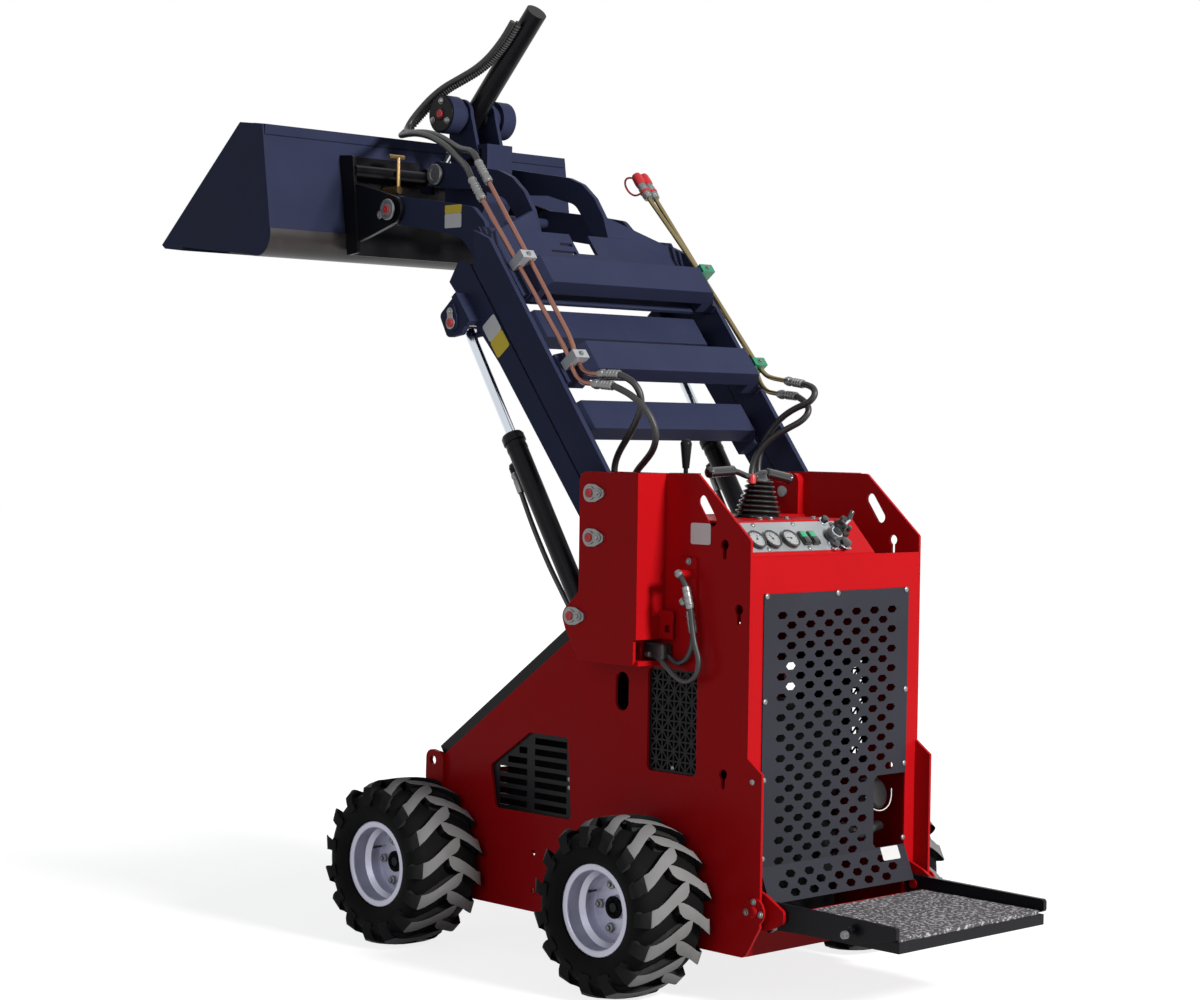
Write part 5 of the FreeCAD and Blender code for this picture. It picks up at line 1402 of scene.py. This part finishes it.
class LOADER_OT_platform_trim(bpy.types.Operator):
    """Add bolts and latch studs to the foot platform's arms"""
    bl_idname = "loader.platform_trim"
    bl_label = "Platform trim"

    def execute(self, context):
        for side, word in SIDES:
            face = on_face("platform_frame", -0.795 + MIDDLE_X, 0.208, side)
            bolt_set("arm_bolt_" + word, "platform", [face], Y_AXIS * side, 0.0065)
            start = on_face("platform_frame", -1.040 + MIDDLE_X, 0.2300, side)
            turned("latch_stud_" + word, "platform", "zinc_dark", start, Y_AXIS * side,
                   [(0, 0.0100), (0.004, 0.0100), (0.006, 0.0075), (0.008, 0.0095), (0.012, 0.0095),
                    (0.014, 0.0070)], 24)
        return {"FINISHED"}


# ------------------------------------------------ stage
CAMERA_PLACE = Vector((-5.0167, 4.8189, 1.4057))
CAMERA_YAW, CAMERA_PITCH, CAMERA_ROLL = -0.7637, -0.0272, -0.0145
CAMERA_LENS = 75.48
WHITE = (1.0, 1.0, 1.0, 1.0)
WORLD_FILL = 0.16
KEY_WATTS, FILL_WATTS = 930, 60


def camera_turn():
    """The camera's own axes: right, up and back."""
    level = math.cos(CAMERA_PITCH)
    forward = Vector((level * math.cos(CAMERA_YAW), level * math.sin(CAMERA_YAW), math.sin(CAMERA_PITCH)))
    right = forward.cross(Z_AXIS).normalized()
    down = forward.cross(right)
    across = right * math.cos(CAMERA_ROLL) + down * math.sin(CAMERA_ROLL)
    lower = -right * math.sin(CAMERA_ROLL) + down * math.cos(CAMERA_ROLL)
    return Matrix((across, -lower, -forward)).transposed().to_4x4()


def seen_white(tree):
    """1 for rays that see the surface straight or mirrored, 0 for rays that light the object."""
    path = new_node(tree, "LightPath")
    value = path.outputs["Is Camera Ray"]
    for key in ("Is Glossy Ray", "Is Transmission Ray"):
        most = new_node(tree, "Math", "MAXIMUM")
        link(tree, value, most.inputs[0])
        link(tree, path.outputs[key], most.inputs[1])
        value = most.outputs["Value"]
    return value


def make_world():
    """White where it is seen, a soft grey where it lights the object."""
    world = bpy.data.worlds.new("studio")
    world.use_nodes = True
    bpy.context.scene.world = world
    tree = world.node_tree
    background = tree.nodes["Background"]
    background.inputs["Color"].default_value = WHITE
    background.inputs["Strength"].default_value = 1.0
    fill = new_node(tree, "Background", Color=(0.92, 0.95, 1.0, 1.0), Strength=WORLD_FILL)
    mixed = new_node(tree, "MixShader")
    link(tree, seen_white(tree), mixed.inputs["Fac"])
    link(tree, fill.outputs["Background"], mixed.inputs[1])
    link(tree, background.outputs["Background"], mixed.inputs[2])
    link(tree, mixed.outputs["Shader"], tree.nodes["World Output"].inputs["Surface"])


def floor_finish():
    """Pale floor that glows where it is seen, more so away from the machine, and still takes its shadow."""
    made = bpy.data.materials.new("pale_floor")
    made.use_nodes = True
    tree = made.node_tree
    shader = tree.nodes["Principled BSDF"]
    for key, value in (("Base Color", (0.40, 0.40, 0.40, 1.0)), ("Roughness", 0.9),
                       ("Specular IOR Level", 0.0), ("Emission Color", WHITE)):
        shader.inputs[key].default_value = value
    reach = new_node(tree, "VectorMath", "LENGTH")
    far = new_node(tree, "MapRange", From_Min=1.2, From_Max=4.5, To_Min=0.82, To_Max=1.05)
    glow = new_node(tree, "Math", "MULTIPLY")
    link(tree, new_node(tree, "TexCoord").outputs["Object"], reach.inputs[0])
    link(tree, reach.outputs["Value"], far.inputs["Value"])
    link(tree, far.outputs["Result"], glow.inputs[1])
    link(tree, seen_white(tree), glow.inputs[0])
    link(tree, glow.outputs["Value"], shader.inputs["Emission Strength"])
    return made


def soft_light(name, where, aim, size, power, colour):
    """Round area lamp at a place, aimed at a point."""
    lamp = bpy.data.lights.new(name, "AREA")
    lamp.shape = "DISK"
    lamp.size = size
    lamp.energy = power
    lamp.color = colour
    holder = bpy.data.objects.new(name, lamp)
    bpy.context.collection.objects.link(holder)
    holder.location = where
    holder.rotation_euler = (Vector(aim) - Vector(where)).to_track_quat("-Z", "Y").to_euler()


class LOADER_OT_stage(bpy.types.Operator):
    """Set the floor, studio light and camera"""
    bl_idname = "loader.stage"
    bl_label = "Stage"

    def execute(self, context):
        clear_selection()
        bpy.ops.mesh.primitive_plane_add(size=60.0, location=(0, 0, -0.0005))
        floor = settle(context.object, "floor")
        floor.data.materials.append(floor_finish())
        make_world()
        soft_light("key", (-8.0, -0.45, 4.6), (0, 0, 1.0), 1.6, KEY_WATTS, (1.0, 0.985, 0.96))
        soft_light("fill", (-2.5, 6.5, 3.0), (0, 0, 1.1), 4.0, FILL_WATTS, (0.86, 0.91, 1.0))
        lens = bpy.data.cameras.new("camera")
        lens.lens = CAMERA_LENS
        lens.sensor_width = 36.0
        lens.dof.use_dof = False
        camera = bpy.data.objects.new("camera", lens)
        context.collection.objects.link(camera)
        camera.matrix_world = Matrix.Translation(CAMERA_PLACE) @ camera_turn()
        context.scene.camera = camera
        context.scene.view_settings.view_transform = "Standard"
        return {"FINISHED"}


class LOADER_OT_finishes(bpy.types.Operator):
    """Make every finish and put it on the frame's own parts"""
    bl_idname = "loader.finishes"
    bl_label = "Finishes"

    def execute(self, context):
        make_finishes()
        dress_frame()
        return {"FINISHED"}


STEPS = ("finishes", "tyres", "wheel_hardware", "pins", "body_hardware", "engine_parts", "dash", "joystick",
         "hoses", "line_fittings", "cylinders", "bucket_trim", "platform_trim", "stage")


class LOADER_PT_panel(bpy.types.Panel):
    """Loader steps in the sidebar"""
    bl_idname = "LOADER_PT_panel"
    bl_label = "Mini Wheel Loader"
    bl_space_type = "VIEW_3D"
    bl_region_type = "UI"
    bl_category = "Loader"

    def draw(self, context):
        layout = self.layout
        for settings in (context.scene.loader_colours, context.scene.loader_sizes):
            for key in settings.__annotations__:
                layout.prop(settings, key)
        for step in STEPS:
            layout.operator("loader." + step)


CLASSES = (LoaderColours, LoaderSizes, LOADER_OT_finishes, LOADER_OT_tyres, LOADER_OT_wheel_hardware,
           LOADER_OT_pins, LOADER_OT_body_hardware, LOADER_OT_engine_parts, LOADER_OT_dash,
           LOADER_OT_joystick, LOADER_OT_hoses, LOADER_OT_line_fittings, LOADER_OT_cylinders,
           LOADER_OT_bucket_trim, LOADER_OT_platform_trim, LOADER_OT_stage, LOADER_PT_panel)


def register():
    for item in CLASSES:
        bpy.utils.register_class(item)
    bpy.types.Scene.loader_colours = bpy.props.PointerProperty(type=LoaderColours)
    bpy.types.Scene.loader_sizes = bpy.props.PointerProperty(type=LoaderSizes)


def unregister():
    del bpy.types.Scene.loader_sizes
    del bpy.types.Scene.loader_colours
    for item in reversed(CLASSES):
        bpy.utils.unregister_class(item)


def main():
    register()
    for step in STEPS:
        getattr(bpy.ops.loader, step)()
    clear_selection()


if __name__ == "__main__":
    main()
